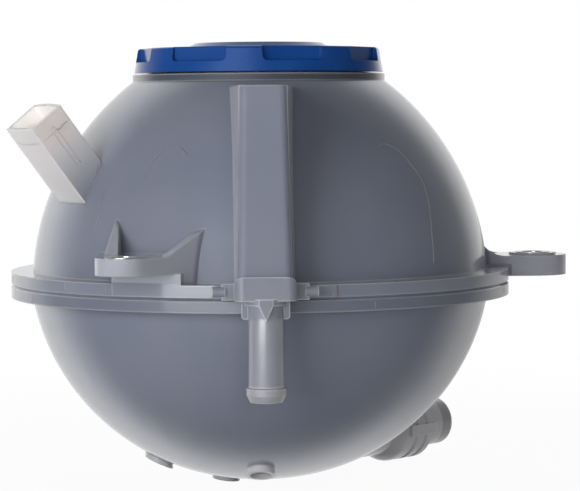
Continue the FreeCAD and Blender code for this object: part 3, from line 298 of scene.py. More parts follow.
# The outlet is a little warmer than the bowl, and painted much paler, with paler edges: painted
# light that lifts it out of the bowl's shade.
outletLook = {
    "body": (0.455, 0.45, 0.485), "cloud": (0.49, 0.485, 0.51), "edge": (0.66, 0.65, 0.655),
    "roughness": 0.44, "rounding": 0.0005, "grain": 2800.0, "sink": 90.0, "relief": 0.07,
    "coat": 0.1, "rimCoat": 0.9, "rim": (0.25, 0.75), "coatIor": 2.2, "coatRoughness": 0.12,
    # lip: painted glow at the outer rim. barrel: painted darker than the drum
    "lip": (0.88, 0.85, 0.83), "lipFrom": (84.0, 85.0),
    "barrel": (0.31, 0.30, 0.315), "barrelFrom": (79.6, 80.4),
}
socketLook = {
    # body and edge are painted pale: painted light through the thin wall
    "body": (0.54, 0.525, 0.545), "cloud": (0.58, 0.56, 0.57), "edge": (0.66, 0.65, 0.655),
    "roughness": 0.40, "rounding": 0.0006, "grain": 2600.0, "sink": 90.0, "relief": 0.06,
    "coat": 0.2, "rimCoat": 0.6, "rim": (0.25, 0.75), "coatIor": 1.6, "coatRoughness": 0.15,
    # place and size of the tube
    "mouth": (76.4, 50.7), "turn": 210.0, "rise": 52.0, "across": 8.5, "deep": 5.75, "wall": 1.3,
    # down the tube from its mouth: painted light, pale and warm at the mouth, grey at the root, the
    # long wall paler
    "paleGlow": (0.60, 0.555, 0.545), "root": (0.165, 0.182, 0.222), "fade": (5.0, 29.0),
    "mouthFade": 9.0, "lip": (0.48, 0.48, 0.50), "lipDepth": (0.12, 0.04),
    "longWall": (0.52, 0.50, 0.51), "longRoot": (0.40, 0.39, 0.41), "longFrom": (0.4, 0.1),
    # the inner faces, past the middle of the wall, painted near white: a painted glow
    "inside": (0.92, 0.89, 0.87), "wallMiddle": (0.4, 0.6), "bow": 0.6,
}


def findPlace(tree):
    # in mm: distance from the tank's axis, height over the seam, then x and y
    where = addNode(tree, "ShaderNodeTexCoord", -2300, -400).outputs["Object"]
    offset = addNode(tree, "ShaderNodeVectorMath", -2100, -400, operation="SUBTRACT")
    offset.inputs[1].default_value = inTank(0, 0, 0)
    tree.links.new(where, offset.inputs[0])
    parts = addNode(tree, "ShaderNodeSeparateXYZ", -1900, -550)
    tree.links.new(offset.outputs[0], parts.inputs[0])
    flat = addNode(tree, "ShaderNodeVectorMath", -1900, -300, operation="MULTIPLY")
    flat.inputs[1].default_value = (1, 1, 0)
    tree.links.new(offset.outputs[0], flat.inputs[0])
    reach = addNode(tree, "ShaderNodeVectorMath", -1700, -300, operation="LENGTH")
    tree.links.new(flat.outputs[0], reach.inputs[0])
    x, y, height = (
        math2(tree, "MULTIPLY", parts.outputs[name], 1000, -1700, -500) for name in "XYZ"
    )
    return math2(tree, "MULTIPLY", reach.outputs["Value"], 1000, -1500, -300), height, x, y


def maskFlange(tree, look, half="both"):
    # The weld flange is polished: one ring of the tank, found by radius and height.
    reach, height = findPlace(tree)[:2]
    rim = ramp(tree, reach, *look["flangeRadius"], -700, -300)
    low = ramp(tree, height, *look["flangeLow"], -700, -450)
    high = ramp(tree, height, *look["flangeHigh"], -700, -600)
    band = math2(tree, "MULTIPLY", low, high, -500, -500)
    mask = math2(tree, "MULTIPLY", rim, band, -300, -400)
    if half == "lower":
        below = ramp(tree, height, *look["flangeSeam"], -500, -700)
        mask = math2(tree, "MULTIPLY", mask, below, -150, -450)
    return mask


def fromCentre(tree, reach, height, shift, drop, y):
    # distance from the centre of a profile arc
    outward = math2(tree, "ADD", reach, shift, -1300, y)
    upward = math2(tree, "ADD", height, drop, -1300, y - 150)
    outward = math2(tree, "MULTIPLY", outward, outward, -1150, y)
    upward = math2(tree, "MULTIPLY", upward, upward, -1150, y - 150)
    return math2(tree, "SQRT", math2(tree, "ADD", outward, upward, -1000, y), None, -850, y)


def paintTank(tree, wall, look):
    # Light through thin lugs and gussets is painted in: they are painted paler, a painted glow. The
    # thick neck ring under the cap is painted dark: painted shade.
    reach, height, x, y = findPlace(tree)
    width = math2(tree, "ABSOLUTE", x, None, -850, 0)
    over = fromCentre(tree, reach, height, look["domeIn"], look["domeDrop"], 300)
    start, end = look["offDome"]
    off = ramp(tree, over, look["domeArc"] + start, look["domeArc"] + end, -700, 200)
    above = ramp(tree, height, *look["thinHeight"], -700, 50)
    outside = ramp(tree, reach, *look["thinReach"], -700, 350)
    above = math2(tree, "MAXIMUM", above, outside, -600, 50)
    # not the front of the riser
    beside = ramp(tree, width, *look["riserFront"], -700, -50)
    behind = ramp(tree, y, *look["riserBack"], -700, -150)
    beside = math2(tree, "MAXIMUM", beside, behind, -550, -50)
    thinGlow = math2(tree, "MULTIPLY", off, above, -550, 150)
    thinGlow = math2(tree, "MULTIPLY", thinGlow, beside, -400, 100)
    # the riser's sides get a paler colour: painted light
    inside = ramp(tree, width, *look["riserEdge"], -700, 600)
    paleGlow = mixColour(tree, inside, look["thinGlow"], look["riserSideLight"], -400, 600)
    colour = mixColour(tree, thinGlow, wall, paleGlow, -250, 450)
    # painted shade: the neck under the cap is painted dark
    neck = ramp(tree, height, *look["neckShadeFoot"], -550, 400)
    colour = mixColour(tree, neck, colour, look["neck"], -150, 500)
    # painted light: the ring feet get a paler colour
    under = fromCentre(tree, reach, height, -look["bowlOut"], -look["bowlRise"], 700)
    start, end = look["offBowl"]
    foot = ramp(tree, under, look["bowlArc"] + start, look["bowlArc"] + end, -700, 700)
    deep = ramp(tree, height, *look["footHeight"], -700, 850)
    foot = math2(tree, "MULTIPLY", foot, deep, -500, 700)
    colour = mixColour(tree, foot, colour, look["foot"], -100, 650)
    # painted shade: the flange's lower half is painted darker
    lower = maskFlange(tree, look, "lower")
    return mixColour(tree, lower, colour, look["flangeUnderShade"], -50, 550)


# shared by the four uncoloured plastics
plasticLook = {
    "wear": 0.25, "scuffRoughness": 0.15, "edgeGlowShare": 0.75, "reliefDepth": 0.0004,
    "ior": 1.49, "specular": 0.22,
    "subsurface": 0.25, "subsurfaceScale": 0.003, "subsurfaceRadius": (1.0, 0.95, 0.9),
}


def makeNaturalPlastic(name, look, recolour):
    same = plasticLook
    material, tree, shader = newMaterial(name)
    grain = placeGroup(tree, mouldGrain, -700, 250, Grain=look["grain"], Sink=look["sink"])
    worn = placeGroup(tree, handling, -700, 50, Scale=look["sink"], Amount=same["wear"])
    edge = placeGroup(tree, softEdgeGlow, -700, -150, Radius=look["rounding"])
    wall = mixColour(tree, grain.outputs["Cloud"], look["body"], look["cloud"], -300, 300)
    wall = recolour(tree, wall, look)
    # painted glow: rounded edges are painted in the paler edge colour
    paleGlow = math2(tree, "MULTIPLY", edge.outputs["EdgeGlow"], same["edgeGlowShare"], -300, 120)
    wall = mixColour(tree, paleGlow, wall, look["edge"], -50, 300)
    tree.links.new(wall, shader.inputs["Base Color"])
    addScuffs(tree, shader, worn, same["scuffRoughness"], look["roughness"])
    # a smooth skin: its gloss grows to the rim
    facing = setInputs(addNode(tree, "ShaderNodeLayerWeight", -500, -350), Blend=0.5)
    gloss = ramp(tree, facing.outputs["Facing"], *look["rim"], -300, -350)
    gloss = math2(tree, "MULTIPLY", gloss, look["rimCoat"], -100, -350)
    gloss = math2(tree, "ADD", gloss, look["coat"], 50, -350, clamp=True)
    if "flangeCoat" in look:
        coat = look["flangeCoat"]
        polish = math2(tree, "MULTIPLY", maskFlange(tree, look), coat, 50, -500)
        lower = maskFlange(tree, look, "lower")
        dull = math2(tree, "MULTIPLY", lower, look["lowerDull"] * coat, 50, -600)
        polish = math2(tree, "ADD", polish, dull, 150, -500)
        gloss = math2(tree, "MAXIMUM", gloss, polish, 200, -400)
    if "tubeCoat" in look:
        tube = ramp(tree, findPlace(tree)[1], *look["tubeTop"], -100, -550)
        tube = math2(tree, "MULTIPLY", tube, look["tubeCoat"], 50, -550)
        gloss = math2(tree, "MAXIMUM", gloss, tube, 200, -500)
    tree.links.new(gloss, shader.inputs["Coat Weight"])
    setInputs(shader, Coat_IOR=look["coatIor"], Coat_Roughness=look["coatRoughness"])
    setInputs(shader, IOR=same["ior"], Specular_IOR_Level=same["specular"])
    setInputs(shader, Subsurface_Weight=same["subsurface"],
              Subsurface_Scale=same["subsurfaceScale"], Subsurface_Radius=same["subsurfaceRadius"])
    # rounding would blur the sharp gloss of a thin tube
    normal = None if "tubeCoat" in look else edge.outputs["Normal"]
    addSkin(tree, shader, grain.outputs["Height"], look["relief"], same["reliefDepth"], normal)
    return material


def paintNipple(tree, wall, look):
    # the bead is paler than the tube
    bead = ramp(tree, findPlace(tree)[1], *look["beadTop"], -500, 600)
    return mixColour(tree, bead, wall, look["bead"], -300, 600)


def paintOutlet(tree, wall, look):
    # the thin lip is painted pale: a painted glow for the light that comes through it. The barrel
    # is painted darker than the drum.
    reach = findPlace(tree)[0]
    barrel = ramp(tree, reach, *look["barrelFrom"], -500, 800)
    wall = mixColour(tree, barrel, wall, look["barrel"], -400, 700)
    lip = ramp(tree, reach, *look["lipFrom"], -500, 600)
    return mixColour(tree, lip, wall, look["lip"], -300, 600)


def along(tree, offset, direction, x, y):
    # how far a point lies along a direction, in mm
    node = addNode(tree, "ShaderNodeVectorMath", x, y, operation="DOT_PRODUCT")
    node.inputs[1].default_value = direction * 1000
    tree.links.new(offset, node.inputs[0])
    return node.outputs["Value"]


def socketAxes(look):
    turn, rise = math.radians(look["turn"]), math.radians(look["rise"])
    out = Vector((math.cos(turn), math.sin(turn), 0))
    up = Vector((0, 0, 1))
    axis = out * math.cos(rise) + up * math.sin(rise)
    deep = out * math.sin(rise) - up * math.cos(rise)
    across = Vector((-math.sin(turn), math.cos(turn), 0))
    radius, height = look["mouth"]
    mouth = inTank(radius * math.cos(turn), radius * math.sin(turn), height)
    return mouth, axis, deep, across


def fadeSocket(tree, wall, look):
    # The thin socket lets light through, and that light is painted in: warm and pale at its mouth,
    # grey at the dome, near white on the inner faces.
    mouth, axis, deep, across = socketAxes(look)
    where = addNode(tree, "ShaderNodeTexCoord", -1700, 600).outputs["Object"]
    offset = addNode(tree, "ShaderNodeVectorMath", -1500, 600, operation="SUBTRACT")
    offset.inputs[1].default_value = mouth
    tree.links.new(where, offset.inputs[0])
    depth = along(tree, offset.outputs[0], -axis, -1300, 800)
    side = along(tree, offset.outputs[0], across, -1300, 600)
    side = math2(tree, "ABSOLUTE", side, None, -1100, 600)
    down = along(tree, offset.outputs[0], deep, -1300, 400)
    flat = math2(tree, "ABSOLUTE", down, None, -1100, 400)
    start, end = look["fade"]
    near = ramp(tree, depth, start + look["mouthFade"], start, -1100, 800)
    far = ramp(tree, depth, start, end, -900, 800)
    colour = mixColour(tree, near, wall, look["paleGlow"], -700, 700)
    colour = mixColour(tree, far, colour, look["root"], -600, 600)
    start, end = look["longFrom"]
    long = ramp(tree, down, look["deep"] - start, look["deep"] - end, -900, 400)
    longWall = mixColour(tree, far, look["longWall"], look["longRoot"], -700, 550)
    colour = mixColour(tree, long, colour, longWall, -500, 650)
    start, end = (look["wall"] * share for share in look["wallMiddle"])
    sideIn = ramp(tree, side, look["across"] - start, look["across"] - end, -900, 600)
    bow = look["bow"]
    flatIn = ramp(tree, flat, look["deep"] - start + bow, look["deep"] - end + bow, -900, 200)
    inner = math2(tree, "MULTIPLY", sideIn, flatIn, -700, 400)
    colour = mixColour(tree, inner, colour, look["inside"], -400, 500)
    lip = ramp(tree, depth, *look["lipDepth"], -500, 400)
    return mixColour(tree, lip, colour, look["lip"], -300, 550)


capLook = {
    "blue": (0.004, 0.044, 0.205), "fade": (0.008, 0.054, 0.226), "roughness": 0.36,
    "rounding": 0.0005, "rim": (0.35, 0.85), "grain": 1500.0, "sink": 70.0, "wear": 0.5,
    "speck": (0.20, 0.24, 0.32), "speckShare": 0.25, "scuffRoughness": 0.25,
    "relief": 0.16, "reliefDepth": 0.0004, "ior": 1.5, "specular": 0.10,
    "coatIor": 1.6, "coatRoughness": 0.12,
}


def makeBluePlastic():
    look = capLook
    material, tree, shader = newMaterial("bluePlastic")
    grain = placeGroup(tree, mouldGrain, -600, 200, Grain=look["grain"], Sink=look["sink"])
    worn = placeGroup(tree, handling, -600, -50, Scale=look["sink"], Amount=look["wear"])
    edge = placeGroup(tree, softEdgeGlow, -600, -300, Radius=look["rounding"])
    body = mixColour(tree, grain.outputs["Cloud"], look["blue"], look["fade"], -300, 250)
    specks = math2(tree, "MULTIPLY", worn.outputs["Speck"], look["speckShare"], -300, 50)
    body = mixColour(tree, specks, body, look["speck"], -50, 250)
    tree.links.new(body, shader.inputs["Base Color"])
    addScuffs(tree, shader, worn, look["scuffRoughness"], look["roughness"])
    facing = setInputs(addNode(tree, "ShaderNodeLayerWeight", -500, -500), Blend=0.5)
    gloss = ramp(tree, facing.outputs["Facing"], *look["rim"], -300, -500)
    tree.links.new(gloss, shader.inputs["Coat Weight"])
    setInputs(shader, IOR=look["ior"], Specular_IOR_Level=look["specular"],
              Coat_IOR=look["coatIor"], Coat_Roughness=look["coatRoughness"])
    addSkin(tree, shader, grain.outputs["Height"], look["relief"], look["reliefDepth"],
            edge.outputs["Normal"])
    return material


darkLook = {
    "grain": 1800.0, "sink": 120.0, "wear": 0.4, "scuffRoughness": 0.2, "reliefDepth": 0.0003,
}
blackLook = {
    "dark": (0.012, 0.012, 0.013), "cloud": (0.020, 0.020, 0.021),
    "roughness": 0.42, "relief": 0.15, "rounding": 0.0003,
}
rubberLook = {
    "dark": (0.010, 0.010, 0.010), "cloud": (0.017, 0.016, 0.016),
    "roughness": 0.62, "relief": 0.25, "rounding": 0.0002,
}


def makeDarkPlastic(name, look):
    same = darkLook
    material, tree, shader = newMaterial(name)
    grain = placeGroup(tree, mouldGrain, -600, 200, Grain=same["grain"], Sink=same["sink"])
    worn = placeGroup(tree, handling, -600, -50, Scale=same["sink"], Amount=same["wear"])
    edge = placeGroup(tree, softEdgeGlow, -600, -300, Radius=look["rounding"])
    body = mixColour(tree, grain.outputs["Cloud"], look["dark"], look["cloud"], -200, 250)
    tree.links.new(body, shader.inputs["Base Color"])
    addScuffs(tree, shader, worn, same["scuffRoughness"], look["roughness"])
    addSkin(tree, shader, grain.outputs["Height"], look["relief"], same["reliefDepth"],
            edge.outputs["Normal"])
    return material


metalLook = {
    "grain": 900.0, "sink": 260.0, "wear": 0.6, "scuffRoughness": 0.25, "reliefDepth": 0.0002,
    "rounding": 0.0002, "rings": 900.0, "ringWaver": 2.0, "ringDetail": 2.0,
}
# lay: how strongly the turning or drawing marks run round the piece
zincLook = {
    "bright": (0.58, 0.59, 0.61), "dull": (0.47, 0.48, 0.50), "roughness": 0.30, "lay": 0.20,
}
springLook = {
    "bright": (0.50, 0.50, 0.51), "dull": (0.40, 0.40, 0.41), "roughness": 0.28, "lay": 0.12,
}
brassLook = {
    "bright": (0.66, 0.47, 0.20), "dull": (0.56, 0.39, 0.16), "roughness": 0.27, "lay": 0.18,
}


def makeMetal(name, look):
    same = metalLook
    material, tree, shader = newMaterial(name)
    grain = placeGroup(tree, mouldGrain, -600, 200, Grain=same["grain"], Sink=same["sink"])
    worn = placeGroup(tree, handling, -600, -50, Scale=same["sink"], Amount=same["wear"])
    edge = placeGroup(tree, softEdgeGlow, -600, -550, Radius=same["rounding"])
    rings = addNode(tree, "ShaderNodeTexWave", -600, -300, wave_type="BANDS", bands_direction="Z")
    setInputs(rings, Scale=same["rings"], Distortion=same["ringWaver"], Detail=same["ringDetail"])
    where = addNode(tree, "ShaderNodeTexCoord", -850, -300)
    tree.links.new(where.outputs["Object"], rings.inputs["Vector"])
    body = mixColour(tree, grain.outputs["Cloud"], look["bright"], look["dull"], -200, 250)
    tree.links.new(body, shader.inputs["Base Color"])
    addScuffs(tree, shader, worn, same["scuffRoughness"], look["roughness"])
    shader.inputs["Metallic"].default_value = 1.0
    addSkin(tree, shader, rings.outputs["Fac"], look["lay"], same["reliefDepth"],
            edge.outputs["Normal"])
    return material


naturalPlastic = makeNaturalPlastic("naturalPlastic", tankLook, paintTank)
socketPlastic = makeNaturalPlastic("socketPlastic", socketLook, fadeSocket)
nipplePlastic = makeNaturalPlastic("nipplePlastic", nippleLook, paintNipple)
outletPlastic = makeNaturalPlastic("outletPlastic", outletLook, paintOutlet)
bluePlastic = makeBluePlastic()
blackPlastic = makeDarkPlastic("blackPlastic", blackLook)
sealRubber = makeDarkPlastic("sealRubber", rubberLook)
zincSteel = makeMetal("zincSteel", zincLook)
springSteel = makeMetal("springSteel", springLook)
turnedBrass = makeMetal("turnedBrass", brassLook)

finishOf = {
    "upper_shell": naturalPlastic, "lower_shell": naturalPlastic, "outlet_spigot": outletPlastic,
    "socket_tube": socketPlastic, "return_nipple": nipplePlastic,
    "front_lug_sleeve": zincSteel, "side_lug_sleeve": zincSteel,
    "cap_cover": bluePlastic, "cap_stem": blackPlastic, "valve_housing": blackPlastic,
    "spring_retainer": blackPlastic, "stem_o_ring": sealRubber, "housing_o_ring": sealRubber,
    "pressure_seal": sealRubber, "pressure_spring": springSteel, "vacuum_spring": springSteel,
    "vacuum_clip": springSteel, "pressure_plate": turnedBrass, "vacuum_disc": turnedBrass,
}
for name, finish in finishOf.items():
    mesh = nodes[name].data
    mesh.materials.clear()
    mesh.materials.append(finish)
print("finishes on", len(finishOf), "nodes")


# fine pieces on top of the CAD nodes
def addPiece(name, points, faces, body, material, slot):
    mesh = bpy.data.meshes.new(name)
    mesh.from_pydata(points, [], faces)
    mesh.polygons.foreach_set("use_smooth", [True] * len(mesh.polygons))
    mesh.update()
    piece = bpy.data.objects.new(name, mesh)
    bpy.context.scene.collection.objects.link(piece)
    mesh.materials.append(material)
    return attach(piece, body)


def sweepRing(profiles):
    # Joins equal profiles along a path and closes both ends.
    size = len(profiles[0])
    points = [point for profile in profiles for point in profile]
    faces = []
    for step in range(len(profiles) - 1):
        for side in range(size):
            a = step * size + side
            b = step * size + (side + 1) % size
            faces.append((a, b, b + size, a + size))
    last = (len(profiles) - 1) * size
    faces.append(tuple(reversed(range(size))))
    faces.append(tuple(last + side for side in range(size)))
    return points, faces


threadLook = {
    "lead": 4.0, "stepsPerTurn": 72,
    "runOut": 40.0,                       # degrees over which a thread fades in and out
    "leastHeight": 0.02,
    "rootWidth": 2.1, "crestWidth": 0.9,
    "soften": 0.0002, "softenSteps": 2, "softenAngle": 25.0,
    # the stem's thread runs midway between the turns of the neck's
    "neck": {"root": 30.8, "crest": 29.1, "start": 53.2, "turns": 1.9, "from": 0.0},
    "stem": {"root": 28.3, "crest": 30.0, "start": 53.2, "turns": 2.1, "from": 180.0},
}


def addThread(name, cut, body, material, slot):
    lead, perTurn = threadLook["lead"], threadLook["stepsPerTurn"]
    rootHalf, crestHalf = threadLook["rootWidth"] / 2, threadLook["crestWidth"] / 2
    root = cut["root"]
    count = int(cut["turns"] * perTurn)
    fade = threadLook["runOut"] / 360 * perTurn
    profiles = []
    for step in range(count + 1):
        grown = min(1.0, step / fade, (count - step) / fade)
        grown = max(threadLook["leastHeight"], grown * grown * (3 - 2 * grown))
        angle = math.radians(cut["from"]) + 2 * math.pi * step / perTurn
        height = cut["start"] + lead * step / perTurn
        crest = root + (cut["crest"] - root) * grown
        outline = [(root, -rootHalf), (crest, -crestHalf), (crest, crestHalf), (root, rootHalf)]
        profiles.append([
            inTank(r * math.cos(angle), r * math.sin(angle), height + dz) for r, dz in outline
        ])
    piece = addPiece(name, *sweepRing(profiles), body, material, slot)
    bevel = piece.modifiers.new("soften", "BEVEL")
    bevel.width = threadLook["soften"]
    bevel.segments = threadLook["softenSteps"]
    bevel.angle_limit = math.radians(threadLook["softenAngle"])


addThread("neck_thread", threadLook["neck"], "tank", naturalPlastic, "natural_plastic")
addThread("stem_thread", threadLook["stem"], "cap", blackPlastic, "black_plastic")
print("threads cut")


# Lines left in the plastic: thin ridges laid on the CAD surfaces.
def surfaceOf(name):
    node = nodes[name]
    points = [node.matrix_world @ vertex.co for vertex in node.data.vertices]
    return BVHTree.FromPolygons(points, [list(face.vertices) for face in node.data.polygons])


def castIn(surface, start, direction):
    place, normal = surface.ray_cast(start, direction)[:2]
    return (place, normal) if place else None


def smoothPath(corners, steps):
    # a soft curve through the corners
    path = []
    for i in range(len(corners) - 1):
        a = Vector(corners[max(0, i - 1)])
        b = Vector(corners[i])
        c = Vector(corners[i + 1])
        d = Vector(corners[min(len(corners) - 1, i + 2)])
        for step in range(steps):
            t = step / steps
            bend = 2 * a - 5 * b + 4 * c - d
            twist = 3 * b - a - 3 * c + d
            path.append(0.5 * (2 * b + (c - a) * t + bend * t * t + twist * t ** 3))
    path.append(Vector(corners[-1]))
    return path


# A ridge's foot lies in the wall, and its ends are low.
ridgeLook = {
    "sunk": 0.00015, "crown": 0.45, "endHeight": 0.25, "endSteps": 3, "castFrom": 140,
}


def addRidge(name, spots, look, material):
    spots = [spot for spot in spots if spot]
    profiles = []
    for i, (place, normal) in enumerate(spots):
        before = spots[max(0, i - 1)][0]
        after = spots[min(len(spots) - 1, i + 1)][0]
        side = normal.cross((after - before).normalized()).normalized() * (look["width"] / 2000)
        fromEnd = min(i, len(spots) - 1 - i)
        fade = min(1.0, ridgeLook["endHeight"] + fromEnd / ridgeLook["endSteps"])
        top = normal * (look["proud"] / 1000 * fade)
        sunk = normal * -ridgeLook["sunk"]
        crown = side * ridgeLook["crown"]
        profiles.append([
            place + side + sunk, place + crown + top, place - crown + top, place - side + sunk,
        ])
    addPiece(name, *sweepRing(profiles), "tank", material, "natural_plastic")


def onDome(surface, angle, z):
    start = polar(ridgeLook["castFrom"], angle, z)
    inward = (polar(0, angle, z) - start).normalized()
    return castIn(surface, start, inward)


# (degrees from the front, mm over the seam)
domeLines = {
    "width": 0.5, "proud": 0.10, "steps": 8,
    "arch_left": [(-33.2, 32.4), (-32.4, 36.1), (-30.6, 40.3), (-26.1, 42.6), (-21.1, 39.2)],
    "arch_right": [(35.7, 41.5), (39.3, 42.3), (43.1, 40.5), (45.4, 37.6), (47.4, 33.8),
                   (48.4, 30.3), (47.8, 24.6), (46.2, 16.0), (45.4, 8.0)],
    "side_line": [(-45.8, 29.4), (-45.8, 26.0), (-45.8, 23.1), (-46.0, 16.9)],
}


def addDomeLines():
    surface = surfaceOf("upper_shell")
    for name in ("arch_left", "arch_right", "side_line"):
        path = smoothPath(domeLines[name], domeLines["steps"])
        spots = [onDome(surface, angle, z) for angle, z in path]
        addRidge(name, spots, domeLines, naturalPlastic)


flangeTicks = {
    "width": 0.45, "proud": 0.08, "steps": 6,
    "upper": (-79.0, -48.3, -36.0, 13.6, 118.0, 205.0), "upperZ": (0.9, 3.6),
    "lower": (72.3, -62.0, 24.0, 150.0), "lowerZ": (-0.9, -3.4),
}


def addFlangeTicks():
    # parting marks across the weld flange
    steps = flangeTicks["steps"]
    for half, node in (("upper", "upper_shell"), ("lower", "lower_shell")):
        surface = surfaceOf(node)
        start, end = flangeTicks[half + "Z"]
        heights = [start + (end - start) * k / steps for k in range(steps + 1)]
        for i, angle in enumerate(flangeTicks[half]):
            spots = [onDome(surface, angle, z) for z in heights]
            addRidge(half + "_tick_" + str(i + 1), spots, flangeTicks, naturalPlastic)


socketLines = {
    "width": 0.5, "proud": 0.03, "castFrom": 0.03,
    # (mm across the near wall, mm down from the mouth)
    "tongue": [(0.9, 17.0), (0.9, 12.0), (0.9, 7.0), (0.75, 4.2), (0.15, 3.4),
               (-0.5, 4.2), (-0.62, 7.0), (-0.62, 12.0), (-0.62, 17.0)],
    "tongueSteps": 6,
    "step": 5.0, "stepNear": 4.6, "stepLong": 7.0, "stepSteps": 12,
}


def addSocketLines():
    look = socketLines
    mouth, axis, deep, across = socketAxes(socketLook)
    surface = surfaceOf("socket_tube")

    def onWall(outward, sideways, offset, down):
        start = mouth + sideways * (offset / 1000) - axis * (down / 1000)
        return castIn(surface, start + outward * look["castFrom"], -outward)

    def crossWall(outward, sideways, half):
        steps = look["stepSteps"]
        offsets = [-half + 2 * half * k / steps for k in range(steps + 1)]
        return [onWall(outward, sideways, offset, look["step"]) for offset in offsets]

    tongue = smoothPath(look["tongue"], look["tongueSteps"])
    lines = {
        "socket_tongue": [onWall(across, deep, *at) for at in tongue],
        "socket_step_near": crossWall(across, deep, look["stepNear"]),
        "socket_step_long": crossWall(deep, across, look["stepLong"]),
    }
    for name, spots in lines.items():
        addRidge(name, spots, look, socketPlastic)


gateNub = {
    "place": (4.0, 0.0), "castFrom": -120, "steps": 24,
    # (radius, mm under the bowl)
    "outline": [(0.0, 1.0), (1.1, 1.0), (1.5, 0.75), (1.7, 0.0), (1.9, -0.4)],
}


def addGateNub():
    # the trimmed sprue under the bowl
    surface = surfaceOf("lower_shell")
    place = castIn(surface, inTank(*gateNub["place"], gateNub["castFrom"]), Vector((0, 0, 1)))[0]
    points, faces = [], []
    steps = gateNub["steps"]
    for radius, height in gateNub["outline"]:
        for k in range(steps):
            turn = 2 * math.pi * k / steps
            spot = Vector((radius * math.cos(turn), radius * math.sin(turn), -height))
            points.append(place + spot / 1000)
    rows = len(gateNub["outline"])
    for row in range(rows - 1):
        for k in range(steps):
            a = row * steps + k
            b = row * steps + (k + 1) % steps
            faces.append((a, a + steps, b + steps, b))
    faces.append(tuple((rows - 1) * steps + k for k in range(steps)))
    addPiece("gate_nub", points, faces, "tank", naturalPlastic, "natural_plastic")


# Each spring is copied into a coil and its node hidden; the seats listed here are not used to place
# it.
springCoils = {
    "pressure_spring": {"fixed": "valve_cartridge", "moving": "pressure_valve", "movingEnd": "low"},
    "vacuum_spring": {"fixed": "pressure_valve", "moving": "vacuum_valve", "movingEnd": "high"},
}


def addSprings():
    for name, spring in springCoils.items():
        coil = bpy.data.objects.new(name + "_coil", nodes[name].data.copy())
        bpy.context.scene.collection.objects.link(coil)
        low, high = (Vector(corner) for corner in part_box(name))
        middle = (low + high) / 2
        ends = [(middle.x, middle.y, high.z), (middle.x, middle.y, low.z)]
        if spring["movingEnd"] == "high":
            ends.reverse()
        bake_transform(coil)
        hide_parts(name)


addSprings()
print("springs laid in")


# A low bead on the filler neck's rim, so that no light shows under the cap.
rimBead = {
    # (radius, mm over the seam)
    "outline": [(33.3, 63.1), (33.5, 63.5), (34.1, 63.5), (34.3, 63.1)], "steps": 180,
}


def addRimBead():
    points, faces = [], []
    steps, size = rimBead["steps"], len(rimBead["outline"])
    for k in range(steps):
        turn = 2 * math.pi * k / steps
        points += [inTank(r * math.cos(turn), r * math.sin(turn), z) for r, z in rimBead["outline"]]
    for k in range(steps):
        for side in range(size):
            a, b = k * size + side, k * size + (side + 1) % size
            c, d = (b + size) % len(points), (a + size) % len(points)
            faces.append((d, c, b, a))
    addPiece("rim_bead", points, faces, "tank", naturalPlastic, "natural_plastic")


addRimBead()
addDomeLines()
addFlangeTicks()
addSocketLines()
addGateNub()
print("mould lines and marks laid on")


# stage: pale floor, white surround, soft light
stageLook = {
    "floor": (0.74, 0.74, 0.74), "floorSize": 6.0, "floorGap": 0.0002,
    "floorWhite": 0.95, "floorFade": (0.12, 0.42),
    # the floor's duller reflection in front and on the right is painted shade
    "floorGloss": 1.0, "floorShadedGloss": 0.28,
    "floorRight": (0.01, 0.095), "floorFront": (-0.050, -0.012),
    "surround": 0.19, "warm": (1.0, 0.95, 0.87),   # light from all round, on the object
    # the room in front and right reflects darker than the backdrop
    "frontGloss": 0.25, "rightDark": 0.62, "sideDark": 0.2, "backdrop": (0.0, 0.7),
    "key": {"place": (-400, -600, 40), "size": (0.5, 0.5), "power": 5.7, "mirrored": False},
    "strip": {"place": (-290, -670, 80), "size": (0.52, 0.55), "power": 6.2, "lights": False},
    "front": {"place": (60, -760, 70), "size": (0.30, 0.10), "power": 1.05, "mirrored": False},
    "back": {"place": (0, 620, 560), "size": (1.6, 0.8), "power": 6.0, "mirrored": False},
}


def backdrop(tree, direction):
    # how white the room reflects in a direction: less in front, and less round the right side
    parts = addNode(tree, "ShaderNodeSeparateXYZ", -700, -100)
    tree.links.new(direction, parts.inputs[0])
    bothSides = stageLook["sideDark"]
    width = math2(tree, "ABSOLUTE", parts.outputs["X"], None, -600, -250)
    width = math2(tree, "MULTIPLY", width, bothSides, -450, -250)
    lean = stageLook["rightDark"] - bothSides
    lean = math2(tree, "MULTIPLY", parts.outputs["X"], lean, -600, -400)
    lean = math2(tree, "ADD", lean, width, -350, -300)
    turned = math2(tree, "SUBTRACT", parts.outputs["Y"], lean, -250, -200)
    behind = ramp(tree, turned, *stageLook["backdrop"], -150, -100)
    white = math2(tree, "MULTIPLY", behind, 1 - stageLook["frontGloss"], 0, -100)
    return math2(tree, "ADD", white, stageLook["frontGloss"], 100, -100)


